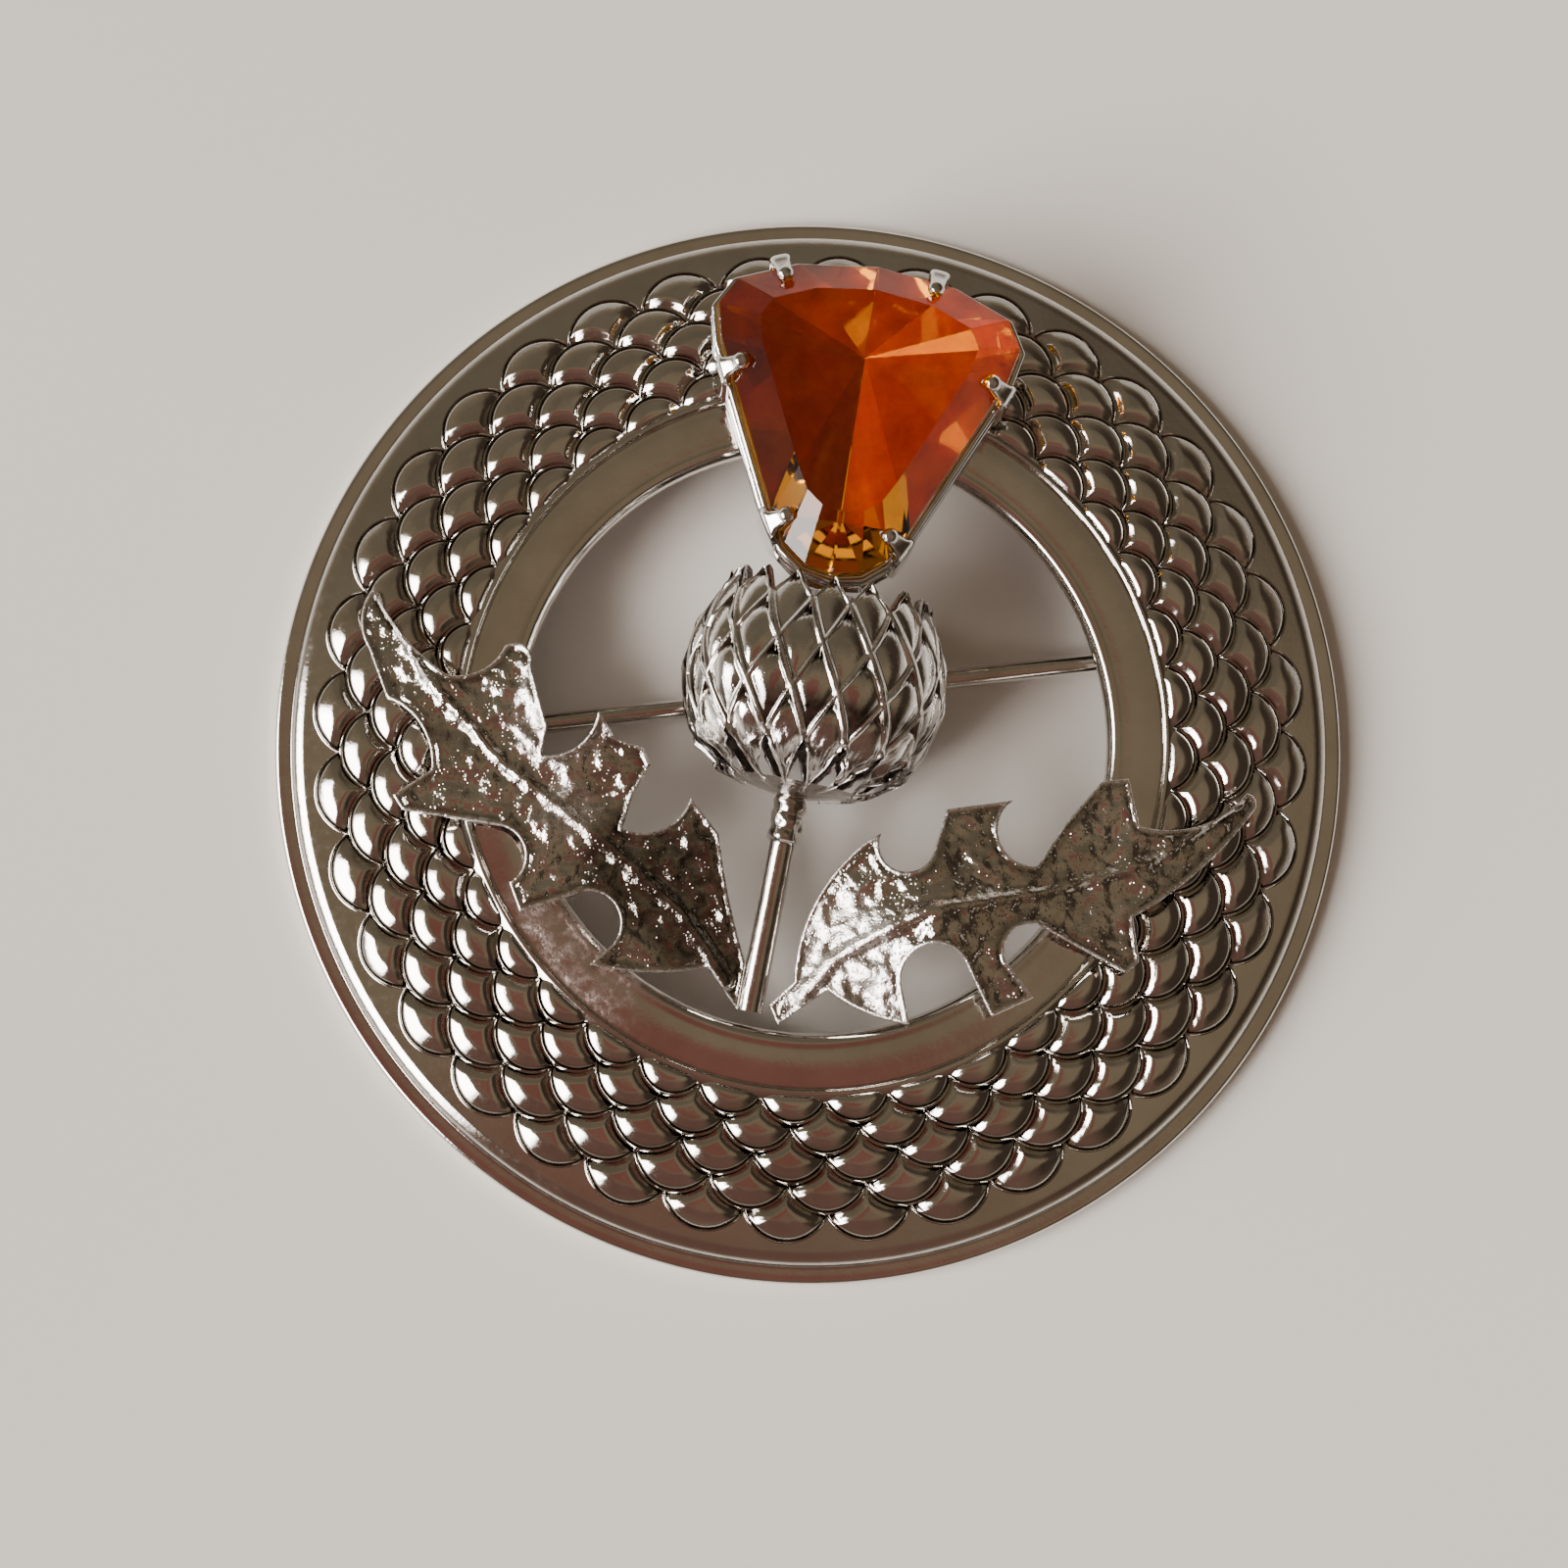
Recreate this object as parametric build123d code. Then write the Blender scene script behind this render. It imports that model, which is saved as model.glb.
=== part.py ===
from build123d import *
import os
from collections import namedtuple
from math import asin, atan2, cos, degrees, hypot, pi, radians, sin, sqrt

# Thistle brooch: a stamped ring of fish scales with a thistle spray soldered across its hole
# Millimetres and degrees. The origin is the ring's centre, on the surface that the brooch lies on.
# +X runs along the pin towards its point, +Y is up as worn, and +Z comes out of the front.

# Ring plate
ring_diameter = 50.0
hole_diameter = 27.1
sheet = 0.75
flange_width = 0.8
flange_height = 0.85
flange_edge = 0.15
slope_width = 0.6
slope_rise = 1.2
band_width = 2.55
band_step = 0.2
lip_radius = 0.4
field_rise = 1.87
dome_angle_inner = 3.0

# Fish scales of the field
scales_per_row = 36
scale_rows = 5
scale_margin = 0.6
scale_spread = 1.03
scale_stand = 0.3
scale_sink = 0.25
scale_bevel = 0.18
scale_thickness = 0.45

# Clearances
seat_gap = 0.05
stone_gap = 0.08
running_gap = 0.05
side_gap = 0.08
back_gap = 0.9
leaf_gap = 0.5

# Spray: its axis leans clockwise from straight up and passes left of the ring's centre
spray_lean = 17.7
spray_shift = -0.5
spray_height = 4.6

# Stem
stem_diameter = 1.2
stem_base_height = 3.3
collar_diameter = 1.45
collar_length = 2.1

# Thistle head
head_width = 11.7
head_depth_share = 0.92
head_bottom = -3.0
head_middle = 2.1
head_top = 6.7
head_foot_diameter = 1.8
head_tip_diameter = 8.4
head_squareness = 2.6
head_columns = 18
head_bulge = 0.38
cup_wall = 0.8
cup_depth = 0.4
peg_diameter = 2.4

# Leaves: length, angle from the stem, and where the stalk starts beside it
left_leaf_length = 25.8
left_leaf_angle = 53.0
left_stalk_side = -0.7
left_stalk_up = -12.9
right_leaf_length = 24.3
right_leaf_angle = 54.8
right_stalk_side = 0.6
right_stalk_up = -12.85
leaf_thickness = 0.6
leaf_root_drop = 1.25
leaf_tip_drop = 0.95
leaf_crown_share = 0.55
rib_width = 0.9
rib_rise = 0.3
rib_taper = 0.7

# Stone
stone_width = 13.8
stone_length = 14.25
stone_side = -1.0
stone_tip_up = 6.9
stone_turn = 2.5
girdle_height = 7.4
girdle_band = 0.5
crown_rise = 1.4
culet_drop = 2.1
keel_drop = 1.6
table_share = 0.72
table_centre_share = 0.64
culet_share = 0.72
keel_share = 0.22

# Claw setting
gallery_thickness = 0.6
gallery_outside = 0.4
gallery_inside = 0.9
claw_width = 1.0
claw_thickness = 0.55
claw_reach = 0.75
claw_heel_share = 1.4

# Pin, hinge and catch
pin_diameter = 0.9
pin_height = 1.1
pin_offset = 2.3
hinge_share = 0.187
rivet_diameter = 0.8
eye_diameter = 1.7
ear_thickness = 0.6
hinge_plate_inward = 2.9
hinge_plate_outward = 1.4
hinge_plate_gap = 0.45
catch_share = 0.2533
catch_length = 2.6
catch_wall = 0.5
catch_gap = 0.2
catch_mouth_gap = 0.05
catch_neck = 1.6
point_lead = 1.6
point_length = 4.0
point_diameter = 0.12

# Levels and radii that follow
ring_radius = ring_diameter / 2
hole_radius = hole_diameter / 2
field_outer = ring_radius - flange_width - slope_width
field_inner = hole_radius + band_width
field_width = field_outer - field_inner
dome_angle_outer = degrees(2 * atan2(field_rise, field_width)) - dome_angle_inner
dome_radius = field_width / (sin(radians(dome_angle_outer)) - sin(radians(dome_angle_inner)))
dome_centre_r = field_inner - dome_radius * sin(radians(dome_angle_inner))
dome_centre_z = flange_height + slope_rise - dome_radius * cos(radians(dome_angle_outer))
field_top = dome_centre_z + dome_radius * cos(radians(dome_angle_inner))
band_top = field_top - band_step
band_under = band_top - sheet
scale_top = field_top + scale_stand
row_pitch = (field_width - scale_margin) / scale_rows
head_radius = head_width / 2
girdle_top = girdle_height + girdle_band
table_height = girdle_top + crown_rise
table_centre_up = table_centre_share * stone_length
culet_up = culet_share * stone_length
gallery_bottom = scale_top + seat_gap
gallery_top = gallery_bottom + gallery_thickness
pin_radius = pin_diameter / 2
hinge_reach = field_inner + hinge_share * field_width
catch_reach = field_inner + catch_share * field_width
catch_start = catch_reach - catch_length / 2
point_start = catch_reach - point_lead
above_all = table_height + 5
same_place = 1e-6

To = namedtuple("To", "x y")
Bend = namedtuple("Bend", "mid_x mid_y x y")
Mark = namedtuple("Mark", "kind along across")
StoneCorner = namedtuple("StoneCorner", "across along")
ClawPlace = namedtuple("ClawPlace", "side edge share")

# Half outline of the stone, from its tip to the middle of its wide end, in shares of half width and length
stone_corners = [
    StoneCorner(0.00, 0.000),
    StoneCorner(0.19, 0.018),
    StoneCorner(0.34, 0.075),
    StoneCorner(0.45, 0.17),
    StoneCorner(0.95, 0.70),
    StoneCorner(1.00, 0.81),
    StoneCorner(0.90, 0.895),
    StoneCorner(0.52, 0.97),
    StoneCorner(0.00, 1.000),
]

# Claws: right or left side, which edge of that half of the outline, from the tip, and how far along it
claw_places = [
    ClawPlace("right", 2, 0.45),
    ClawPlace("right", 3, 0.92),
    ClawPlace("right", 7, 0.23),
    ClawPlace("left", 2, 0.65),
    ClawPlace("left", 3, 0.82),
    ClawPlace("left", 6, 0.72),
]

# Heights up the head at which its ridges cross, from its foot to the tips of the bracts
crossing_ups = [head_bottom, -0.83, 1.27, 3.37, 5.47, head_top]

# Leaf outlines as shares of leaf length, from the stalk round the inner side to the tip and back.
# A corner ends a straight run. A round is the middle of an arc that ends at the next row.
left_leaf_marks = [
    Mark("corner", 0.00, -0.03),
    Mark("round", 0.15, -0.10),
    Mark("corner", 0.26, -0.17),
    Mark("corner", 0.34, -0.175),
    Mark("round", 0.33, -0.11),
    Mark("corner", 0.38, -0.05),
    Mark("corner", 0.41, -0.10),
    Mark("corner", 0.43, -0.16),
    Mark("corner", 0.46, -0.17),
    Mark("corner", 0.51, -0.145),
    Mark("corner", 0.56, -0.155),
    Mark("round", 0.54, -0.08),
    Mark("corner", 0.57, -0.03),
    Mark("corner", 0.60, -0.07),
    Mark("corner", 0.70, -0.12),
    Mark("round", 0.74, -0.135),
    Mark("corner", 0.76, -0.11),
    Mark("round", 0.755, -0.05),
    Mark("corner", 0.79, 0.00),
    Mark("round", 0.89, 0.01),
    Mark("corner", 1.00, -0.01),
    Mark("round", 0.99, 0.02),
    Mark("corner", 0.92, 0.07),
    Mark("corner", 0.83, 0.105),
    Mark("round", 0.74, 0.095),
    Mark("corner", 0.68, 0.13),
    Mark("corner", 0.69, 0.21),
    Mark("corner", 0.66, 0.215),
    Mark("corner", 0.53, 0.11),
    Mark("round", 0.47, 0.10),
    Mark("corner", 0.44, 0.16),
    Mark("corner", 0.39, 0.18),
    Mark("corner", 0.35, 0.09),
    Mark("round", 0.28, 0.05),
    Mark("corner", 0.24, 0.11),
    Mark("corner", 0.24, 0.15),
    Mark("round", 0.16, 0.08),
    Mark("corner", 0.10, 0.00),
    Mark("corner", 0.00, 0.01),
]

right_leaf_marks = [
    Mark("corner", 0.00, -0.02),
    Mark("corner", 0.11, 0.00),
    Mark("round", 0.15, -0.06),
    Mark("corner", 0.22, -0.12),
    Mark("corner", 0.235, -0.05),
    Mark("round", 0.30, 0.00),
    Mark("corner", 0.36, -0.05),
    Mark("corner", 0.365, -0.17),
    Mark("corner", 0.45, -0.17),
    Mark("corner", 0.43, -0.09),
    Mark("round", 0.47, -0.04),
    Mark("corner", 0.53, -0.07),
    Mark("corner", 0.63, -0.20),
    Mark("corner", 0.66, -0.19),
    Mark("corner", 0.685, -0.11),
    Mark("round", 0.86, -0.075),
    Mark("corner", 0.99, -0.02),
    Mark("round", 1.00, 0.00),
    Mark("corner", 0.99, 0.015),
    Mark("round", 0.88, -0.005),
    Mark("corner", 0.77, 0.04),
    Mark("corner", 0.79, 0.13),
    Mark("corner", 0.74, 0.145),
    Mark("corner", 0.64, 0.10),
    Mark("corner", 0.56, 0.05),
    Mark("round", 0.515, 0.10),
    Mark("corner", 0.57, 0.18),
    Mark("corner", 0.45, 0.215),
    Mark("corner", 0.39, 0.15),
    Mark("round", 0.32, 0.145),
    Mark("corner", 0.32, 0.225),
    Mark("corner", 0.28, 0.22),
    Mark("round", 0.17, 0.17),
    Mark("corner", 0.06, 0.04),
    Mark("corner", 0.00, 0.02),
]

# Midribs, as shares of leaf length
left_rib_marks = [(0.06, -0.01), (0.20, -0.03), (0.38, -0.01), (0.60, 0.03), (0.80, 0.03), (0.97, 0.00)]
right_rib_marks = [(0.06, 0.01), (0.15, 0.05), (0.32, 0.06), (0.55, 0.00), (0.75, -0.03), (0.97, 0.00)]


def closed_face(start, moves, plane=Plane.XY):
    """Face inside a closed run of straight lines and arcs, drawn in the plane's own two axes."""
    here = start
    edges = []
    end = moves[-1]
    closing = [start] if hypot(end.x - start.x, end.y - start.y) > same_place else []
    for move in moves + closing:
        first = plane.from_local_coords((here.x, here.y))
        last = plane.from_local_coords((move.x, move.y))
        if isinstance(move, Bend):
            middle = plane.from_local_coords((move.mid_x, move.mid_y))
            edges.append(Edge.make_three_point_arc(first, middle, last))
        else:
            edges.append(Edge.make_line(first, last))
        here = move
    return Face(Wire(edges))


def largest(shape):
    """The biggest solid of a shape, without the crumbs that a cut leaves behind."""
    return max(shape.solids(), key=lambda solid: solid.volume)


def polyhedron(facets):
    """Solid closed by flat facets, each a loop of points."""
    return Solid(Shell([Face(Wire.make_polygon(points)) for points in facets]))


def to_spray(shape):
    """Turn a piece drawn with the spray upright to the spray's lean on the ring."""
    return shape.rotate(Axis.Z, -spray_lean)


def dome_point(angle, depth=0.0):
    """Radius and height of the domed field where it slopes down by an angle, depth under its surface."""
    reach = dome_radius - depth
    return To(dome_centre_r + reach * sin(radians(angle)), dome_centre_z + reach * cos(radians(angle)))


def dome_arc(depth=0.0, outward=True):
    """Arc of the field's section from its inner to its outer edge, or back."""
    middle = dome_point((dome_angle_inner + dome_angle_outer) / 2, depth)
    end = dome_point(dome_angle_outer if outward else dome_angle_inner, depth)
    return Bend(middle.x, middle.y, end.x, end.y)


def ring_section():
    """Half section of the plate: rolled flange, steep slope, domed field, step, plain band, rounded lip."""
    flange_inner = ring_radius - flange_width
    edge = ring_radius - flange_edge
    lip_cut = lip_radius * (1 - sin(radians(45)))
    return closed_face(To(hole_radius, band_under), [
        To(hole_radius, band_top - lip_radius),
        Bend(hole_radius + lip_cut, band_top - lip_cut, hole_radius + lip_radius, band_top),
        To(field_inner, band_top),
        dome_point(dome_angle_inner),
        dome_arc(),
        To(flange_inner, flange_height),
        To(edge, flange_height),
        Bend(ring_radius, flange_height / 2, edge, 0),
        To(flange_inner, 0),
        dome_point(dome_angle_outer, sheet),
        dome_arc(sheet, outward=False),
    ], Plane.XZ)


def scale(row):
    """One scale: a bevelled disc, tilted so that its outer end stands proud and its inner end dips."""
    tip = field_outer - scale_margin - row * row_pitch
    half_pitch = pi / scales_per_row
    radius = tip * scale_spread * half_pitch / (1 + scale_spread * half_pitch)
    centre_angle = degrees(asin((tip - radius - dome_centre_r) / dome_radius))
    surface = dome_point(centre_angle)
    facing = radians(centre_angle) - atan2(scale_stand + scale_sink, 2 * radius)
    lift = (scale_stand - scale_sink) / 2 - scale_thickness
    base = (surface.x + lift * sin(facing), 0, surface.y + lift * cos(facing))
    plane = Plane(origin=base, z_dir=(sin(facing), 0, cos(facing)))
    disc = Solid.make_cone(radius, radius - scale_bevel, scale_thickness, plane)
    return largest(disc - Solid.make_cylinder(field_inner, above_all))


def ring_plate():
    """The stamped plate: one pitch of it with its scales, copied round and joined face to face."""
    pitch = 360 / scales_per_row
    section = ring_section()
    wedge = Solid.revolve(section, pitch, Axis.Z).rotate(Axis.Z, -pitch / 2)
    scales = []
    for row in range(scale_rows):
        half_step = 0.5 * (row % 2)
        for place in (-1, 0, 1):
            scales.append(scale(row).rotate(Axis.Z, pitch * (place + half_step)))
    half = radians(pitch / 2)
    far = 2 * ring_radius
    slice_face = Face(Wire.make_polygon([
        (0, 0, 0),
        (far * cos(half), -far * sin(half), 0),
        (far * cos(half), far * sin(half), 0),
    ]))
    slice_block = Solid.extrude(slice_face, Vector(0, 0, above_all))
    unit = largest(wedge.fuse(*scales) & slice_block)
    copies = [unit.rotate(Axis.Z, pitch * turn) for turn in range(scales_per_row)]
    return copies[0].fuse(*copies[1:], glue=True)


def plate_room():
    """Everything above a surface just under the plate's back, to cut what is soldered there to fit."""
    depth = sheet + seat_gap
    inner = dome_point(dome_angle_inner, depth)
    face = closed_face(To(0, band_under - seat_gap), [
        To(hole_radius, band_under - seat_gap),
        inner,
        dome_arc(depth),
        To(2 * ring_radius, 0),
        To(2 * ring_radius, above_all),
        To(0, above_all),
    ], Plane.XZ)
    return Solid.revolve(face, 360, Axis.Z)


def head_point(row, column, bulge=0.0, share_out=1.0):
    """Point on the head's net of ridges, which cross at whole rows and columns, or over it by a bulge."""
    low = min(int(row), len(crossing_ups) - 2)
    up = crossing_ups[low] + (crossing_ups[low + 1] - crossing_ups[low]) * (row - low)
    reach = head_bottom - head_middle if up < head_middle else head_top - head_middle
    share = min(1.0, abs((up - head_middle) / reach))
    end_radius = (head_foot_diameter if up < head_middle else head_tip_diameter) / 2
    round_share = sqrt(1 - share ** 2) if up < head_middle else 1 - share ** 2
    radius = end_radius + (head_radius - end_radius) * round_share
    radius = (radius + bulge * radius / head_radius) * share_out
    angle = pi * column / head_columns
    across, forward = cos(angle), sin(angle)
    square = (abs(across) ** head_squareness + abs(forward) ** head_squareness) ** (-1 / head_squareness)
    return (
        spray_shift + radius * square * across,
        up,
        spray_height + head_depth_share * radius * square * forward,
    )


def cell_rim(row, column):
    """Points round one cell of the head's net: its corners and the middles of the ridges between them."""
    steps = [(0, -1), (-0.5, -0.5), (-1, 0), (-0.5, 0.5)]
    steps += [(0, 1), (0.5, 0.5), (1, 0), (0.5, -0.5)]
    return [head_point(row + step_up, column + step_round) for step_up, step_round in steps]


def thistle_head():
    """Cast head: a lattice of bulging cells with pointed bracts round an open top, flat behind the pin."""
    around = 2 * head_columns
    top_row = len(crossing_ups) - 1
    facets = []
    for row in range(1, top_row):
        for column in range(around):
            if (row + column) % 2:
                middle = head_point(row, column, head_bulge)
                rim = cell_rim(row, column)
                for number, point in enumerate(rim):
                    facets.append([middle, point, rim[(number + 1) % len(rim)]])
    for column in range(0, around, 2):
        start, end = head_point(0, column), head_point(0, column + 2)
        rising, falling = head_point(0.5, column + 0.5), head_point(0.5, column + 1.5)
        facets += [[rising, head_point(1, column + 1), falling]]
        facets += [[start, rising, falling], [start, falling, end]]
    facets.append([head_point(0, column) for column in range(0, around, 2)])

    inner_share = 1 - cup_wall / (head_tip_diameter / 2)
    notch_up = crossing_ups[top_row - 1]
    floor_up = notch_up - cup_depth
    rim_places = []
    for column in range(around):
        rim_places += [(top_row - (column + top_row) % 2, column), (top_row - 0.5, column + 0.5)]
    floor = []
    for number, place in enumerate(rim_places):
        next_place = rim_places[(number + 1) % len(rim_places)]
        rim, rim_next = head_point(*place), head_point(*next_place)
        inner = head_point(*place, share_out=inner_share)
        inner_next = head_point(*next_place, share_out=inner_share)
        low = (inner[0], floor_up, inner[2])
        low_next = (inner_next[0], floor_up, inner_next[2])
        facets += [[rim, rim_next, inner_next], [rim, inner_next, inner]]
        facets += [[inner, inner_next, low_next, low]]
        floor.append(low)
    facets.append(floor)

    head = polyhedron(facets)
    peg_up = stone_tip_up - gallery_outside - seat_gap
    peg_centre = (spray_shift, floor_up - sheet, (gallery_bottom + gallery_top) / 2)
    peg_plane = Plane(peg_centre, z_dir=(0, 1, 0))
    peg = Solid.make_cylinder(peg_diameter / 2, peg_up - floor_up + sheet, peg_plane)
    back = pin_height + pin_radius + back_gap
    front = Solid.make_box(4 * head_width, 4 * head_width, above_all)
    front = front.translate((-2 * head_width, -2 * head_width, back))
    return to_spray(largest(head.fuse(peg) & front))


def stem_line(up):
    """Centre of the stem at a distance up the spray, rising from the ring's lip to the head's axis."""
    share = (up + hole_radius) / (head_bottom + hole_radius)
    return (spray_shift, up, stem_base_height + (spray_height - stem_base_height) * share)


def rod(low_up, high_up, diameter):
    """Round bar along the stem's line."""
    low = Vector(*stem_line(low_up))
    along = Vector(*stem_line(high_up)) - low
    return Solid.make_cylinder(diameter / 2, along.length, Plane(low, z_dir=along))


def stem():
    """Stem wire with a thicker collar under the head, its foot cut round to meet the lip of the hole."""
    wire = rod(-ring_radius, head_middle, stem_diameter)
    collar = rod(head_bottom - collar_length, head_middle, collar_diameter)
    below_head = Solid.make_box(4 * head_width, 2 * ring_radius, above_all)
    below_head = below_head.translate((-2 * head_width, head_bottom - seat_gap - 2 * ring_radius, 0))
    in_hole = Solid.make_cylinder(hole_radius - seat_gap, above_all)
    return to_spray(largest(wire.fuse(collar) & below_head & in_hole))


def leaf_slab(length, root_z, crown_z, tip_z):
    """Plate arched along the leaf, as wide as the leaf is long, with an arc for its underside and its top."""
    thickness = leaf_thickness
    crown = leaf_crown_share * length
    section = closed_face(To(-length, root_z - (crown_z - root_z)), [
        To(0, root_z),
        Bend(crown, crown_z, length, tip_z),
        To(2 * length, tip_z - (crown_z - tip_z)),
        To(2 * length, tip_z + thickness - (crown_z - tip_z)),
        To(length, tip_z + thickness),
        Bend(crown, crown_z + thickness, 0, root_z + thickness),
        To(-length, root_z + thickness - (crown_z - root_z)),
    ], Plane.XZ)
    return Solid.extrude(section, Vector(0, 2 * length, 0)).translate((0, -length, 0))


def leaf(length, turn, side, up, marks, rib_marks):
    """Leaf of stamped sheet with a raised midrib, arched over the ring, its stalk cut to fit the stem."""
    points = [To(mark.along * length, mark.across * length) for mark in marks]
    moves = []
    for number, mark in enumerate(marks[1:], 1):
        if mark.kind == "round":
            after = points[number + 1]
            moves.append(Bend(points[number].x, points[number].y, after.x, after.y))
        elif marks[number - 1].kind == "corner":
            moves.append(points[number])
    blank = Solid.extrude(closed_face(points[0], moves), Vector(0, 0, above_all))

    root_z = scale_top - leaf_root_drop
    crown_z = scale_top + leaf_gap
    tip_z = scale_top - leaf_tip_drop
    plate = blank & leaf_slab(length, root_z, crown_z, tip_z)
    rib_side = [[], []]
    for number, (along, across) in enumerate(rib_marks):
        half = rib_width / 2 * (1 - rib_taper * number / (len(rib_marks) - 1))
        rib_side[0].append((along * length, across * length - half, 0))
        rib_side[1].insert(0, (along * length, across * length + half, 0))
    rib_face = Face(Wire.make_polygon(rib_side[0] + rib_side[1]))
    rib_blank = Solid.extrude(rib_face, Vector(0, 0, above_all)) & blank
    rib = rib_blank & leaf_slab(length, root_z + rib_rise, crown_z + rib_rise, tip_z + rib_rise)
    shaped = largest(plate.fuse(*rib.solids()))
    placed = shaped.rotate(Axis.Z, 90 + turn).translate((side, up, 0))
    stem_room = rod(-ring_radius, head_bottom, stem_diameter + 2 * seat_gap)
    return to_spray(largest(placed - stem_room))


def stone_outline():
    """Corners of the stone seen from the front, in order round it from the tip, right side first."""
    right = [(corner.across * stone_width / 2, corner.along * stone_length) for corner in stone_corners]
    left = [(-x, y) for x, y in right[-2:0:-1]]
    return right + left


def place_stone(shape):
    """Turn and shift what is drawn about the stone's own tip to where it stands on the spray."""
    middle = (0, stone_length / 2, 0)
    turned = shape.translate((0, -middle[1], 0)).rotate(Axis.Z, stone_turn)
    return to_spray(turned.translate((stone_side, stone_tip_up + middle[1], 0)))


def stone():
    """Fan-cut stone: a flat table, sloping crown facets, a thin girdle and facets down to a keel."""
    outline = stone_outline()
    count = len(outline)
    table = []
    for x, y in outline:
        table.append((x * table_share, table_centre_up + (y - table_centre_up) * table_share, table_height))
    top = [(x, y, girdle_top) for x, y in outline]
    bottom = [(x, y, girdle_height) for x, y in outline]
    culet = (0, culet_up, girdle_height - culet_drop)
    keel = (0, keel_share * stone_length, girdle_height - keel_drop)
    facets = [table]
    for number in range(count):
        after = (number + 1) % count
        facets.append([table[number], table[after], top[after], top[number]])
        facets.append([top[number], top[after], bottom[after], bottom[number]])
        both_low = max(outline[number][1], outline[after][1]) < keel[1]
        facets.append([bottom[number], bottom[after], keel if both_low else culet])
    low_right = max(number for number in range(count // 2) if outline[number][1] < keel[1])
    low_left = count - low_right
    facets.append([bottom[low_right], culet, keel])
    facets.append([bottom[low_left], keel, culet])
    return place_stone(polyhedron(facets))


def claw(place, outline):
    """One claw: a flat prong up the stone's right side, bent over its crown at the crown's own slope."""
    start = outline[place.edge]
    end = outline[place.edge + 1]
    edge_length = hypot(end[0] - start[0], end[1] - start[1])
    along = ((end[0] - start[0]) / edge_length, (end[1] - start[1]) / edge_length)
    foot = (start[0] + (end[0] - start[0]) * place.share, start[1] + (end[1] - start[1]) * place.share)
    outward = (along[1], -along[0])
    to_edge = start[0] * outward[0] + (start[1] - table_centre_up) * outward[1]
    slope = crown_rise / (to_edge * (1 - table_share))
    lean = hypot(1, slope)
    inner_low = girdle_top + stone_gap * (lean - slope)
    inner_high = inner_low + slope * (claw_reach + stone_gap)
    outer = stone_gap + claw_thickness
    heel = inner_low + claw_heel_share * claw_thickness
    plane = Plane(origin=(foot[0], foot[1], 0), x_dir=(outward[0], outward[1], 0),
                  z_dir=(-along[0], -along[1], 0))
    profile = closed_face(To(stone_gap, gallery_bottom), [
        To(outer, gallery_bottom),
        To(outer, inner_low + claw_thickness / 2),
        Bend(outer - claw_thickness / 4, inner_low + claw_thickness, stone_gap, heel),
        To(-claw_reach + claw_thickness / 2, inner_high + claw_thickness / 2),
        Bend(-claw_reach, inner_high + claw_thickness / 2, -claw_reach, inner_high),
        To(stone_gap, inner_low),
    ], plane)
    half = Vector(along[0], along[1], 0) * (claw_width / 2)
    return Solid.extrude(profile, half * 2).translate(half * -1)


def claw_setting():
    """Setting for the stone: a flat open gallery that follows its outline, with six claws standing on it."""
    outline = stone_outline()
    girdle = Face(Wire.make_polygon([(x, y, gallery_bottom) for x, y in outline]))
    outside = offset(girdle, gallery_outside, kind=Kind.INTERSECTION).faces()[0]
    inside = offset(girdle, -gallery_inside, kind=Kind.INTERSECTION).faces()[0]
    rise = Vector(0, 0, gallery_thickness)
    gallery = largest(Solid.extrude(outside, rise) - Solid.extrude(inside, rise))
    claws = []
    for place in claw_places:
        prong = claw(place, outline)
        claws.append(prong.mirror(Plane.YZ) if place.side == "left" else prong)
    return place_stone(gallery.fuse(*claws))


def hinge_point():
    """Centre of the hinge rivet."""
    return (-hinge_reach, pin_offset, pin_height)


def bar_across(centre_y, width, diameter):
    """Round bar of a width along Y, centred on the hinge rivet's axis."""
    x, _, z = hinge_point()
    return Solid.make_cylinder(diameter / 2, width, Plane((x, centre_y - width / 2, z), z_dir=(0, 1, 0)))


def pin_hinge():
    """Hinge soldered behind the ring: a plate, two ears and the rivet that the pin's eye turns on."""
    eye_width = pin_diameter
    ear_offset = eye_width / 2 + side_gap + ear_thickness / 2
    plate_width = 2 * ear_offset + ear_thickness
    plate_bottom = pin_height + eye_diameter / 2 + hinge_plate_gap
    plate = Solid.make_box(hinge_plate_inward + hinge_plate_outward, plate_width, field_top - plate_bottom)
    plate = plate.translate((-hinge_reach - hinge_plate_outward, pin_offset - plate_width / 2, plate_bottom))
    pieces = [bar_across(pin_offset, plate_width, rivet_diameter)]
    for side in (-1, 1):
        centre_y = pin_offset + side * ear_offset
        web = Solid.make_box(eye_diameter, ear_thickness, plate_bottom + sheet - pin_height)
        web = web.translate((-hinge_reach - eye_diameter / 2, centre_y - ear_thickness / 2, pin_height))
        pieces += [bar_across(centre_y, ear_thickness, eye_diameter), web]
    return largest(plate.fuse(*pieces) - plate_room())


def pin():
    """Pin wire with its eye round the rivet, running to a sharp point beyond the catch."""
    eye = bar_across(pin_offset, pin_diameter, eye_diameter)
    shank_plane = Plane(hinge_point(), z_dir=(1, 0, 0))
    shank = Solid.make_cylinder(pin_radius, hinge_reach + point_start, shank_plane)
    point_plane = Plane((point_start, pin_offset, pin_height), z_dir=(1, 0, 0))
    point = Solid.make_cone(pin_radius, point_diameter / 2, point_length, point_plane)
    bore = bar_across(pin_offset, 2 * pin_diameter, rivet_diameter + 2 * running_gap)
    return largest(eye.fuse(shank, point) - bore)


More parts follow.
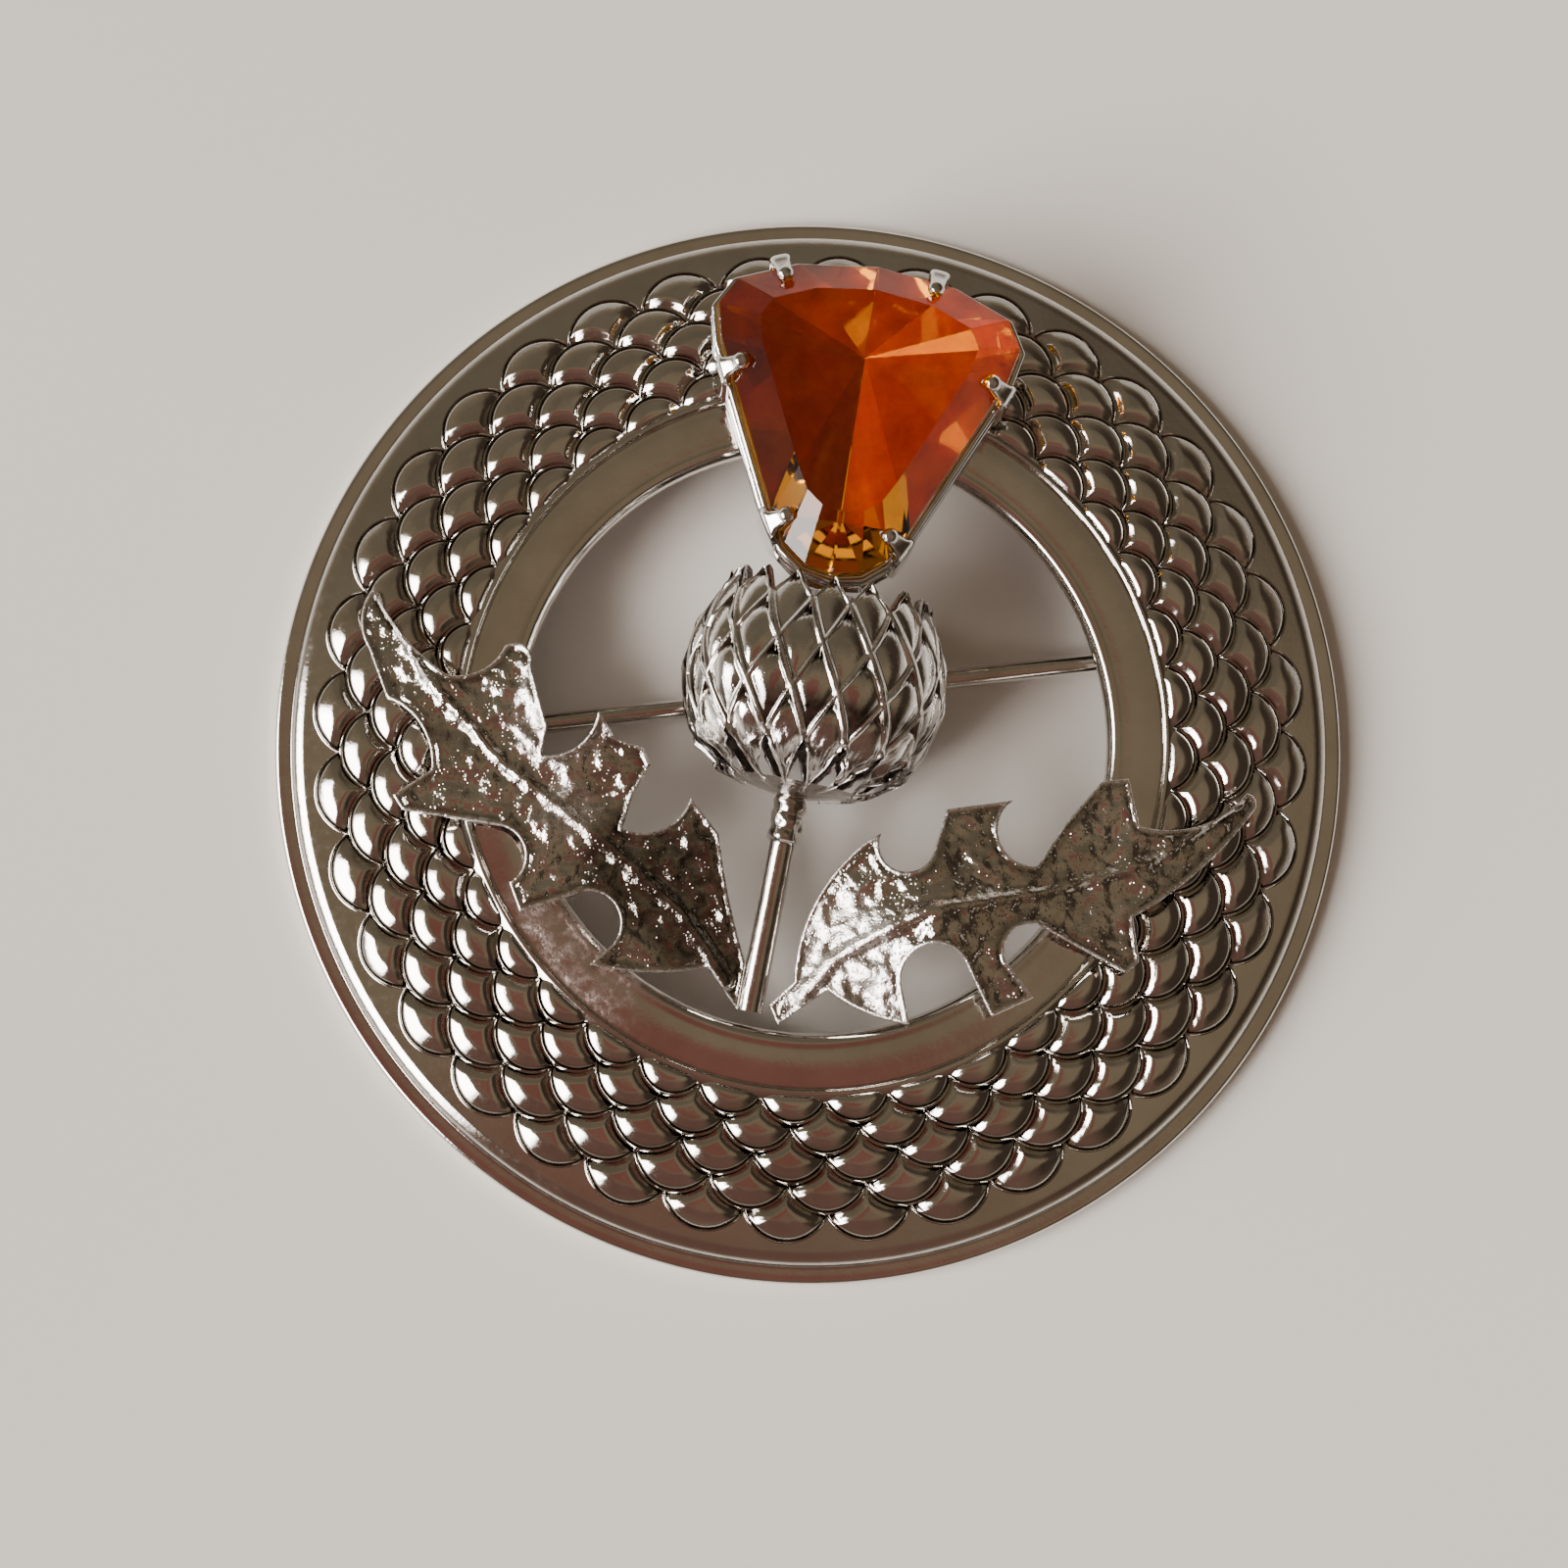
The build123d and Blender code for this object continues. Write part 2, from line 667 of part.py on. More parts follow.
def catch():
    """Open C of bent strip that the pin springs into from behind, on a short neck under the ring."""
    bore = pin_radius + catch_gap
    outer = bore + catch_wall
    mouth = pin_radius + catch_mouth_gap
    drop = sqrt(bore ** 2 - mouth ** 2)
    outer_mouth = mouth * outer / bore
    outer_drop = drop * outer / bore
    plane = Plane(origin=(catch_start, pin_offset, pin_height), x_dir=(0, 1, 0), z_dir=(1, 0, 0))
    strip = closed_face(To(mouth, -drop), [
        To(outer_mouth, -outer_drop),
        Bend(0, outer, -outer_mouth, -outer_drop),
        To(-mouth, -drop),
        Bend(0, bore, mouth, -drop),
    ], plane)
    hook = Solid.extrude(strip, Vector(catch_length, 0, 0))
    neck_bottom = pin_height + bore + catch_wall / 2
    neck = Solid.make_box(catch_length, catch_neck, field_top - neck_bottom)
    neck = neck.translate((catch_start, pin_offset - catch_neck / 2, neck_bottom))
    return largest(hook.fuse(neck) - plate_room())


nodes = {
    "ring_plate": ring_plate(),
    "thistle_head": thistle_head(),
    "stem": stem(),
    "leaf_left": leaf(left_leaf_length, left_leaf_angle, left_stalk_side, left_stalk_up,
                      left_leaf_marks, left_rib_marks),
    "leaf_right": leaf(right_leaf_length, -right_leaf_angle, right_stalk_side, right_stalk_up,
                       right_leaf_marks, right_rib_marks),
    "claw_setting": claw_setting(),
    "stone": stone(),
    "pin_hinge": pin_hinge(),
    "pin": pin(),
    "catch": catch(),
}

os.makedirs("parts", exist_ok=True)
for name, solid in nodes.items():
    export_step(solid, f"parts/{name}.step")
    print(name, type(solid).__name__, round(solid.volume, 2), solid.is_valid)
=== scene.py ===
# %% [markdown]
# # Thistle brooch
# The brooch is a stamped, plated ring of fish scales with a cast thistle soldered across its hole: a round
# head, a stem with two leaves, and an amber glass stone in six claws. The CAD model gives the true sizes and
# the moving pin. This notebook dresses it: it loads that model, replaces the plain solids that carry fine
# relief by finer meshes of the same size, and gives every piece its own finish.

# %% Load the CAD model
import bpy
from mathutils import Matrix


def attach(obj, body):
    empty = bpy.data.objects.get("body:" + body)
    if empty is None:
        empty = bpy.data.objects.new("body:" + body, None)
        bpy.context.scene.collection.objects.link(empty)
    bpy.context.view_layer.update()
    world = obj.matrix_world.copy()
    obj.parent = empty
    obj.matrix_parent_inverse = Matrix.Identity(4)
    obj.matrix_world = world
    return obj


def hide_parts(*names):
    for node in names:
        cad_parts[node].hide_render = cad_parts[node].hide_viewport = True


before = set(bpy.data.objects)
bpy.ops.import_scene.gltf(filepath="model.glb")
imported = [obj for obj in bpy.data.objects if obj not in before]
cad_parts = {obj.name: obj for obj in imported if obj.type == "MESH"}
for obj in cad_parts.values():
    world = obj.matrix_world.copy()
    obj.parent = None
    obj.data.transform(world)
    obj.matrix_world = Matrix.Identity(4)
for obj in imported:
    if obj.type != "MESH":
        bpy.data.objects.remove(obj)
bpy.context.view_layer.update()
print("nodes", sorted(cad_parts))

# %% Tools
from math import asin, atan2, cos, hypot, pi, radians, sin, sqrt, tan

import bpy
import numpy as np
from mathutils import Matrix, Vector, geometry, noise

MM = 0.001
scene = bpy.context.scene
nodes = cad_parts

# %% [markdown]
# ## The camera
# The brooch lies flat and was seen from almost straight above, a little from its lower left. The camera
# looks at the ring's centre from 150 mm away, and a small shift of the lens puts the ring where the picture
# has it.

# %% Camera
photo_side = 1600
camera_distance = 0.150
camera_tilt = radians(7.15)
camera_turn = radians(-110.1)
picture_roll = radians(6.7)
focal_pixels = 3250
ring_centre_in_photo = (827.4, 761.6)

picture_right = Vector((cos(picture_roll), -sin(picture_roll), 0))
picture_up = Vector((sin(picture_roll), cos(picture_roll), 0))
lean = cos(camera_turn) * picture_right + sin(camera_turn) * picture_up
back = (sin(camera_tilt) * lean + cos(camera_tilt) * Vector((0, 0, 1))).normalized()
across = picture_up.cross(back).normalized()

camera_data = bpy.data.cameras.new("camera")
camera_data.sensor_width = 36
camera_data.lens = focal_pixels / photo_side * camera_data.sensor_width
camera_data.shift_x = -(ring_centre_in_photo[0] - photo_side / 2) / photo_side
camera_data.shift_y = -(photo_side / 2 - ring_centre_in_photo[1]) / photo_side
camera_data.clip_start = 0.005
camera = bpy.data.objects.new("camera", camera_data)
camera.matrix_world = Matrix.Translation(back * camera_distance) @ Matrix(
    (across, back.cross(across), back)).transposed().to_4x4()
scene.collection.objects.link(camera)
scene.camera = camera
print("lens", round(camera_data.lens, 1), "mm")

# %% [markdown]
# ## Shader tools
# Every material here is made of nodes. Two small helpers add a node with its values and join two sockets. A
# third one starts a node group, which is one effect with named inputs and outputs that many materials share.

# %% Shader helpers
def add(tree, kind, values=None, **settings):
    """Add a node, set its options, and set the values of its unlinked inputs."""
    node = tree.nodes.new(kind)
    for option, value in settings.items():
        setattr(node, option, value)
    for socket, value in (values or {}).items():
        node.inputs[socket].default_value = value
    return node


def join(tree, source, output, target, entry):
    """Link an output of one node to an input of another."""
    tree.links.new(source.outputs[output], target.inputs[entry])


def start_group(name, inputs, outputs):
    """A new shader group with its named sockets, and its two end nodes."""
    tree = bpy.data.node_groups.new(name, "ShaderNodeTree")
    for label, kind, value in inputs:
        tree.interface.new_socket(label, in_out="INPUT", socket_type=kind).default_value = value
    for label, kind in outputs:
        tree.interface.new_socket(label, in_out="OUTPUT", socket_type=kind)
    print("group", name, "gives", [label for label, _ in outputs])
    return tree, tree.nodes.new("NodeGroupInput"), tree.nodes.new("NodeGroupOutput")


FLOAT, COLOR = "NodeSocketFloat", "NodeSocketColor"
MIX_FACTOR, MIX_A, MIX_B, MIX_RESULT = 0, 6, 7, 2
MIX_FLOAT_A, MIX_FLOAT_B, MIX_FLOAT_RESULT = 2, 3, 0

# %% [markdown]
# ## Effects that the metals share
# Bright plating is never one even colour. It has faint cloudy patches where it is thinner, and its gloss is
# broken by handling. *Plating tone* mixes two tones and two gloss values with slow noise and a fine
# speckle. *Cast relief* is the height of small lumps and pits. *Painted recess shade* is a mask from a value
# that each mesh carries in its grooves, broken up by noise, which darkens the colour there: it is painted
# shade, for the light that doesn't reach into the grooves. *Raw skin* does the same for places that were
# never polished, or that are rubbed through: paler, rough and pitted.

# %% Plating tone
tree, given, result = start_group(
    "plating tone",
    [("Bright", COLOR, (0.8, 0.8, 0.8, 1)), ("Dull", COLOR, (0.6, 0.6, 0.6, 1)), ("Patch Scale", FLOAT, 300),
     ("Smooth", FLOAT, 0.06), ("Worn", FLOAT, 0.25)],
    [("Color", COLOR), ("Roughness", FLOAT)])
place = add(tree, "ShaderNodeTexCoord")
patches = add(tree, "ShaderNodeTexNoise", {"Detail": 5, "Roughness": 0.6})
speckle_scale = add(tree, "ShaderNodeMath", {1: 9.0}, operation="MULTIPLY")
speckle = add(tree, "ShaderNodeTexNoise", {"Detail": 3, "Roughness": 0.7})
tone = add(tree, "ShaderNodeMapRange", {"From Min": 0.38, "From Max": 0.66})
gloss = add(tree, "ShaderNodeMapRange", {"From Min": 0.45, "From Max": 0.75})
mixed = add(tree, "ShaderNodeMix", data_type="RGBA")
gloss_mix = add(tree, "ShaderNodeMapRange", {"From Min": 0.0, "From Max": 1.0})
join(tree, place, "Object", patches, "Vector")
join(tree, place, "Object", speckle, "Vector")
join(tree, given, "Patch Scale", patches, "Scale")
join(tree, given, "Patch Scale", speckle_scale, 0)
join(tree, speckle_scale, 0, speckle, "Scale")
join(tree, patches, "Fac", tone, "Value")
join(tree, speckle, "Fac", gloss, "Value")
join(tree, tone, "Result", mixed, MIX_FACTOR)
join(tree, given, "Bright", mixed, MIX_A)
join(tree, given, "Dull", mixed, MIX_B)
join(tree, gloss, "Result", gloss_mix, "Value")
join(tree, given, "Smooth", gloss_mix, "To Min")
join(tree, given, "Worn", gloss_mix, "To Max")
join(tree, mixed, MIX_RESULT, result, "Color")
join(tree, gloss_mix, "Result", result, "Roughness")
plating_tone = tree

# %% Cast relief
tree, given, result = start_group(
    "cast relief",
    [("Lump Scale", FLOAT, 2500), ("Lump Height", FLOAT, 1.0), ("Pit Scale", FLOAT, 5000),
     ("Pit Depth", FLOAT, 0.5)],
    [("Height", FLOAT)])
place = add(tree, "ShaderNodeTexCoord")
lumps = add(tree, "ShaderNodeTexNoise", {"Detail": 3, "Roughness": 0.55})
pits = add(tree, "ShaderNodeTexVoronoi")
pit_floor = add(tree, "ShaderNodeMapRange", {"From Min": 0.0, "From Max": 0.35, "To Min": -1.0,
                                             "To Max": 0.0})
lump_part = add(tree, "ShaderNodeMath", operation="MULTIPLY")
pit_part = add(tree, "ShaderNodeMath", operation="MULTIPLY")
total = add(tree, "ShaderNodeMath", operation="ADD")
join(tree, place, "Object", lumps, "Vector")
join(tree, place, "Object", pits, "Vector")
join(tree, given, "Lump Scale", lumps, "Scale")
join(tree, given, "Pit Scale", pits, "Scale")
join(tree, pits, "Distance", pit_floor, "Value")
join(tree, lumps, "Fac", lump_part, 0)
join(tree, given, "Lump Height", lump_part, 1)
join(tree, pit_floor, "Result", pit_part, 0)
join(tree, given, "Pit Depth", pit_part, 1)
join(tree, lump_part, 0, total, 0)
join(tree, pit_part, 0, total, 1)
join(tree, total, 0, result, "Height")
cast_relief = tree

# %% Painted recess shade
# Painted shade: the colour goes towards a dark brown where the hollow value is high, broken up by noise.
tree, given, result = start_group(
    "painted recess shade",
    [("Color", COLOR, (0.8, 0.8, 0.8, 1)), ("Shade", COLOR, (0.05, 0.035, 0.02, 1)), ("Amount", FLOAT, 1.0)],
    [("Color", COLOR), ("Unshaded", FLOAT)])
recess = add(tree, "ShaderNodeAttribute", attribute_name="hollow")
place = add(tree, "ShaderNodeTexCoord")
breakup = add(tree, "ShaderNodeTexNoise", {"Scale": 1800.0, "Detail": 2})
uneven = add(tree, "ShaderNodeMapRange", {"From Min": 0.3, "From Max": 0.7, "To Min": 0.6, "To Max": 1.1})
amount = add(tree, "ShaderNodeMath", operation="MULTIPLY")
mask = add(tree, "ShaderNodeMath", operation="MULTIPLY", use_clamp=True)
mixed = add(tree, "ShaderNodeMix", data_type="RGBA")
clean = add(tree, "ShaderNodeMath", {0: 1.0}, operation="SUBTRACT")
join(tree, place, "Object", breakup, "Vector")
join(tree, breakup, "Fac", uneven, "Value")
join(tree, recess, "Fac", amount, 0)
join(tree, given, "Amount", amount, 1)
join(tree, amount, 0, mask, 0)
join(tree, uneven, "Result", mask, 1)
join(tree, mask, 0, mixed, MIX_FACTOR)
join(tree, given, "Color", mixed, MIX_A)
join(tree, given, "Shade", mixed, MIX_B)
join(tree, mask, 0, clean, 1)
join(tree, mixed, MIX_RESULT, result, "Color")
join(tree, clean, 0, result, "Unshaded")
painted_recess_shade = tree

# %% Raw skin
tree, given, result = start_group(
    "raw skin",
    [("Color", COLOR, (0.8, 0.8, 0.8, 1)), ("Roughness", FLOAT, 0.1), ("Skin", COLOR, (0.80, 0.74, 0.72, 1)),
     ("Skin Roughness", FLOAT, 0.42)],
    [("Color", COLOR), ("Roughness", FLOAT), ("Height", FLOAT)])
raw = add(tree, "ShaderNodeAttribute", attribute_name="raw")
place = add(tree, "ShaderNodeTexCoord")
grain = add(tree, "ShaderNodeTexNoise", {"Scale": 3600.0, "Detail": 4, "Roughness": 0.65})
patchy = add(tree, "ShaderNodeMapRange", {"From Min": 0.35, "From Max": 0.60, "To Min": 0.45, "To Max": 1.1})
mask = add(tree, "ShaderNodeMath", operation="MULTIPLY", use_clamp=True)
mixed = add(tree, "ShaderNodeMix", data_type="RGBA")
rough_mix = add(tree, "ShaderNodeMix")
pitted = add(tree, "ShaderNodeMath", operation="MULTIPLY")
join(tree, place, "Object", grain, "Vector")
join(tree, grain, "Fac", patchy, "Value")
join(tree, raw, "Fac", mask, 0)
join(tree, patchy, "Result", mask, 1)
join(tree, mask, 0, mixed, MIX_FACTOR)
join(tree, given, "Color", mixed, MIX_A)
join(tree, given, "Skin", mixed, MIX_B)
join(tree, mask, 0, rough_mix, MIX_FACTOR)
join(tree, given, "Roughness", rough_mix, MIX_FLOAT_A)
join(tree, given, "Skin Roughness", rough_mix, MIX_FLOAT_B)
join(tree, raw, "Fac", pitted, 0)
join(tree, grain, "Fac", pitted, 1)
join(tree, mixed, MIX_RESULT, result, "Color")
join(tree, rough_mix, MIX_FLOAT_RESULT, result, "Roughness")
join(tree, pitted, 0, result, "Height")
raw_skin = tree
print("groups", [group.name for group in bpy.data.node_groups])

# %% [markdown]
# ## Plated metals
# All the metal is one bright plating over brass, but each piece was made in its own way. The stamped plate
# is smooth with a few scratches, the cast head and leaves are lumpy, and the wire is drawn. One function
# builds the material, and a short table gives each piece its own tones, gloss and relief.

# %% Metal finishes
pale_skin, warm_skin = (0.80, 0.74, 0.72), (0.72, 0.56, 0.53)
skin_bump_height = 0.05


def plated_metal(name, bright, dull, smooth, worn, patch_scale, lump_scale, lump_height, pit_depth, shade_amount,
                 skin_color=pale_skin):
    """Plated metal: tone and gloss, painted recess shade, raw skin, and a bump from the cast relief and the
    skin.
    """
    material = bpy.data.materials.new(name)
    material.use_nodes = True
    tree = material.node_tree
    shader = tree.nodes["Principled BSDF"]
    shader.inputs["Metallic"].default_value = 1.0
    tone = add(tree, "ShaderNodeGroup", {"Bright": bright + (1,), "Dull": dull + (1,), "Smooth": smooth,
                                         "Worn": worn, "Patch Scale": patch_scale}, node_tree=plating_tone)
    # Painted shade in the recesses, from the hollow value.
    recess_shade = add(tree, "ShaderNodeGroup", {"Amount": shade_amount}, node_tree=painted_recess_shade)
    relief = add(tree, "ShaderNodeGroup", {"Lump Scale": lump_scale, "Pit Scale": 2 * lump_scale,
                                           "Pit Depth": pit_depth}, node_tree=cast_relief)
    skin = add(tree, "ShaderNodeGroup", {"Skin": skin_color + (1,)}, node_tree=raw_skin)
    bump = add(tree, "ShaderNodeBump", {"Strength": 1.0, "Distance": lump_height * MM})
    skin_bump = add(tree, "ShaderNodeBump", {"Strength": 1.0, "Distance": skin_bump_height * MM})
    join(tree, tone, "Color", recess_shade, "Color")
    join(tree, recess_shade, "Color", skin, "Color")
    join(tree, tone, "Roughness", skin, "Roughness")
    join(tree, skin, "Color", shader, "Base Color")
    join(tree, skin, "Roughness", shader, "Roughness")
    join(tree, relief, "Height", bump, "Height")
    join(tree, skin, "Height", skin_bump, "Height")
    join(tree, bump, "Normal", skin_bump, "Normal")
    join(tree, skin_bump, "Normal", shader, "Normal")
    return material


# Each row holds a name, the bright and the dull tone, the smooth and the worn roughness, the noise scales of
# the patches and the lumps, the lumps' height in millimetres, the pits' depth as a share of that, the amount
# of painted shade in recesses and, for the plate alone, the colour of its raw skin.
finish_table = (
    ("plate metal", (0.80, 0.77, 0.73), (0.70, 0.66, 0.61), 0.06, 0.14, 260, 1500, 0.006, 0.25, 0.75,
     warm_skin),
    ("scale metal", (0.82, 0.79, 0.75), (0.70, 0.66, 0.61), 0.06, 0.15, 420, 1700, 0.006, 0.30, 0.95),
    ("cast metal", (0.84, 0.82, 0.80), (0.68, 0.65, 0.61), 0.05, 0.16, 500, 2600, 0.010, 0.40, 1.0),
    ("hammered metal", (0.82, 0.79, 0.75), (0.62, 0.57, 0.51), 0.08, 0.22, 420, 2600, 0.040, 0.5, 0.9),
    ("wire metal", (0.76, 0.73, 0.69), (0.60, 0.56, 0.51), 0.10, 0.26, 380, 1800, 0.008, 0.3, 0.8),
    ("setting metal", (0.86, 0.85, 0.84), (0.74, 0.72, 0.69), 0.05, 0.14, 500, 2400, 0.010, 0.3, 0.8),
    ("back metal", (0.66, 0.62, 0.56), (0.50, 0.45, 0.38), 0.18, 0.34, 300, 1500, 0.012, 0.4, 0.8),
    ("foil metal", (0.62, 0.33, 0.06), (0.44, 0.18, 0.03), 0.45, 0.60, 600, 1200, 0.030, 0.2, 0.0),
)
finishes = {row[0]: plated_metal(*row) for row in finish_table}
print("metals", list(finishes))

# %% [markdown]
# ## Mesh tools
# Relief this fine is easiest to make as points worked out by a formula. Points are written in millimetres,
# in the CAD model's own frame, and become metres when the mesh is made. A value called *hollow*, from 0 on
# open metal to 1 in the bottom of a groove, is stored at every point for the painted shade, and one called
# *raw* for the rough skin.

# %% Mesh helpers
def make_piece(name, points, faces, material, hollow=None, raw=None, sharp=40):
    """A mesh object from points in millimetres, smooth but for its sharp edges, with one material."""
    mesh = bpy.data.meshes.new(name)
    mesh.from_pydata((np.asarray(points, float) * MM).tolist(), [], faces)
    for label, values in (("hollow", hollow), ("raw", raw)):
        if values is not None:
            layer = mesh.attributes.new(label, "FLOAT", "POINT")
            layer.data.foreach_set("value", np.asarray(values, np.float32))
    mesh.validate()
    mesh.shade_smooth()
    mesh.set_sharp_from_angle(angle=radians(sharp))
    piece = bpy.data.objects.new(name, mesh)
    scene.collection.objects.link(piece)
    mesh.materials.append(finishes[material])
    triangles = sum(len(face.vertices) - 2 for face in mesh.polygons)
    print(name, len(mesh.vertices), "points", triangles, "triangles")
    return piece


def grid_faces(rows, columns, closed=False):
    """Quads of a grid of points, row by row. A closed grid joins its last column to its first."""
    faces = []
    for row in range(rows - 1):
        for column in range(columns if closed else columns - 1):
            here = row * columns + column
            after = row * columns + (column + 1) % columns
            faces.append((here, after, after + columns, here + columns))
    return faces


def smoothstep(low, high, value):
    """0 below low, 1 above high, and a smooth rise between."""
    share = np.clip((value - low) / (high - low), 0, 1)
    return share * share * (3 - 2 * share)


def clockwise(angle):
    """Matrix that turns points, one to a row, clockwise by an angle in the ring's plane."""
    return np.array([[cos(angle), -sin(angle), 0], [sin(angle), cos(angle), 0], [0, 0, 1]])


def round_corner(centre, radius, start, end, steps):
    """Points of an arc in a section, its angles in degrees from straight outward."""
    angles = np.radians(np.linspace(start, end, steps))
    return [(centre[0] + radius * cos(angle), centre[1] + radius * sin(angle)) for angle in angles]


# %% [markdown]
# ## The ring plate
# The real ring is one sheet, pressed in a die. Its section is a thin flat flange round the outside, a steep
# short slope, a domed field, a small step down to a smooth band, and a rounded lip at the hole. That
# section, turned once round the axis, gives the plate. The scales are the die's relief, and they come next
# as a mesh of their own.

# %% Ring sizes
ring_radius = 25.0
hole_radius = 13.55
field_inner = 16.1
field_outer = 23.6
flange_inner = 24.2
flange_top = 0.85
slope_rise = 1.2
band_step = 0.2
sheet = 0.75
dome_slopes = (radians(3), radians(25))
dome_radius = (field_outer - field_inner) / (sin(dome_slopes[1]) - sin(dome_slopes[0]))
dome_centre_r = field_inner - dome_radius * sin(dome_slopes[0])
dome_centre_z = flange_top + slope_rise - dome_radius * cos(dome_slopes[1])
field_top = dome_centre_z + dome_radius * cos(dome_slopes[0])
band_top = field_top - band_step
print("field top", round(field_top, 2), "band top", round(band_top, 2))

# %% [markdown]
# The field lies a little under the CAD model's dome, because the scales stand up to it. Outside the last
# scales it is a narrow shelf that tilts outward, and then a slope that gets steeper towards the flange.

# %% Section sizes
field_drop = 0.34
shelf_start, shelf_end, shelf_tilt = field_outer - 1.7, field_outer - 0.05, radians(12)
# Each place on the outer slope: distance out from the shelf, and drop below it.
outer_slope = ((0.08, 0.03), (0.18, 0.08), (0.28, 0.14), (0.38, 0.205), (0.46, 0.27), (0.51, 0.34),
               (0.54, 0.44), (0.565, 0.65), (0.59, 0.90), (0.61, 1.12))
lip = 0.55
band_start, band_end = hole_radius + 0.66, field_inner - 0.12
band_sink, band_crown = 0.045, 0.05
groove_bend, field_bend = 0.09, 0.10
flange_bend, foot_bend = 0.24, 0.15
# Each place in the groove at the slope's foot: distance out from it, and rise.
flange_groove = ((-0.02, 0.02), (0.04, -0.02), (0.14, -0.02), (0.32, 0.0))


def dome_height(radius, depth=0.0):
    """Height of the field's dome at a radius, or of a surface that lies a depth under it."""
    return dome_centre_z + sqrt((dome_radius - depth) ** 2 - (radius - dome_centre_r) ** 2)


print("shelf", round(shelf_end - shelf_start, 2), "mm wide")

# %% Plate section
section = [(hole_radius, band_top - sheet), (hole_radius, band_top - lip - 0.05)]
section += round_corner((hole_radius + lip, band_top - lip - 0.02), lip, 174, 97, 9)
section += [(hole_radius + 0.60, band_top - 0.035), (band_start, band_top - band_sink)]
for share in np.linspace(0.12, 1.0, 8):
    crown = band_crown * 4 * share * (1 - share)
    section.append((band_start + (band_end - band_start) * share, band_top - band_sink + crown))
section += round_corner((field_inner - 0.02, band_top + 0.04), groove_bend, 250, 320, 4)
section += round_corner((field_inner + 0.16, field_top - field_bend), field_bend, 160, 85, 5)
for radius in np.linspace(field_inner + 0.35, shelf_start - 0.2, 22):
    sunk = field_drop * smoothstep(field_inner + 0.2, field_inner + 0.9, radius)
    section.append((radius, dome_height(radius) - sunk))
shelf_height = dome_height(shelf_start) - field_drop
for radius in np.linspace(shelf_start, shelf_end, 12):
    section.append((radius, shelf_height - tan(shelf_tilt) * (radius - shelf_start)))
slope_height = section[-1][1]
section += [(shelf_end + beyond, slope_height - drop) for beyond, drop in outer_slope]
section += [(flange_inner + beyond, flange_top + rise) for beyond, rise in flange_groove]
section.append((ring_radius - 0.30, flange_top))
section += round_corner((ring_radius - flange_bend, flange_top - flange_bend), flange_bend, 88, 2, 7)
section.append((ring_radius, 0.16))
section += round_corner((ring_radius - foot_bend, foot_bend), foot_bend, -5, -90, 5)
section += [(flange_inner, 0.0), (flange_inner - 0.12, 0.06)]
for radius in np.linspace(field_outer - 0.35, field_inner, 24):
    section.append((radius, dome_height(radius, sheet)))
section = [(float(radius), float(height)) for radius, height in section]
print("section", len(section), "points")

# %% [markdown]
# The turned plate carries two masks. Painted shade darkens its three grooves and the field between the
# scales, and the plating of the band is rubbed through in one broken patch beside the left leaf.

# %% Turned plate
ring_turns = 360
# Each groove: its radius, half its width, and how much painted shade darkens it.
grooves = ((flange_inner - 0.08, 0.18, 1.0), (field_inner - 0.03, 0.10, 0.8), (hole_radius + 0.63, 0.06, 0.4))
# The field between the scales gets painted shade all over.
field_shade = 0.85
rubbed_start, rubbed_end = (194, 208), (240, 222)
rubbed_share, rubbed_noise = 0.70, 0.7


def groove_shade(radius, height):
    """How much painted shade darkens the plate's top at a place of its section."""
    if height <= flange_top - 0.1:
        return 0.0
    depths = [amount * max(0.0, 1 - abs(radius - groove) / width) for groove, width, amount in grooves]
    return field_shade if field_inner + 0.5 < radius < shelf_start else max(depths)


def rubbed_patch(radius, height, turn):
    """How far the plating is rubbed through, at a place of the section and a turn in degrees."""
    on_band = height > band_top - 0.2 and radius < field_inner
    rubbed = smoothstep(*rubbed_start, turn) * smoothstep(*rubbed_end, turn) * on_band
    broken = rubbed_share + rubbed_noise * noise.noise(Vector((radius * 1.6, turn * 0.45, 4.0)))
    return float(np.clip(rubbed * broken, 0, 1))


turns = np.linspace(0, 2 * pi, ring_turns, endpoint=False)
plate_points = [(radius * cos(turn), radius * sin(turn), height)
                for radius, height in section for turn in turns]
plate_faces = [tuple(reversed(face)) for face in grid_faces(len(section), ring_turns, closed=True)]
last = (len(section) - 1) * ring_turns
for turn in range(ring_turns):
    after = (turn + 1) % ring_turns
    plate_faces.append((turn, after, last + after, last + turn))
plate_hollow = [groove_shade(*place) for place in section for _ in turns]
plate_raw = [rubbed_patch(*place, turn) for place in section for turn in np.degrees(turns)]
ring_plate = make_piece("ring_plate_metal", plate_points, plate_faces, "plate metal", plate_hollow, plate_raw,
                        sharp=50)
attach(ring_plate, "brooch")
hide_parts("ring_plate")

# %% [markdown]
# ## The fish scales
# Each scale is a small pillow: flat on top, rounded down over a broad border, with a groove round its foot
# and a hair-thin burr beyond the groove, as a worn die leaves it. The groove and the ground round it, the
# outer part of the border and the end that dips under the next row in are darkened with painted shade. The
# scales are tilted, so that each one's outer end stands over the next row out and its inner end dips under
# the next row in. Drawing each pillow by one formula, with a little wobble of its own, keeps every outline
# crisp, which a bump in the material can't do.

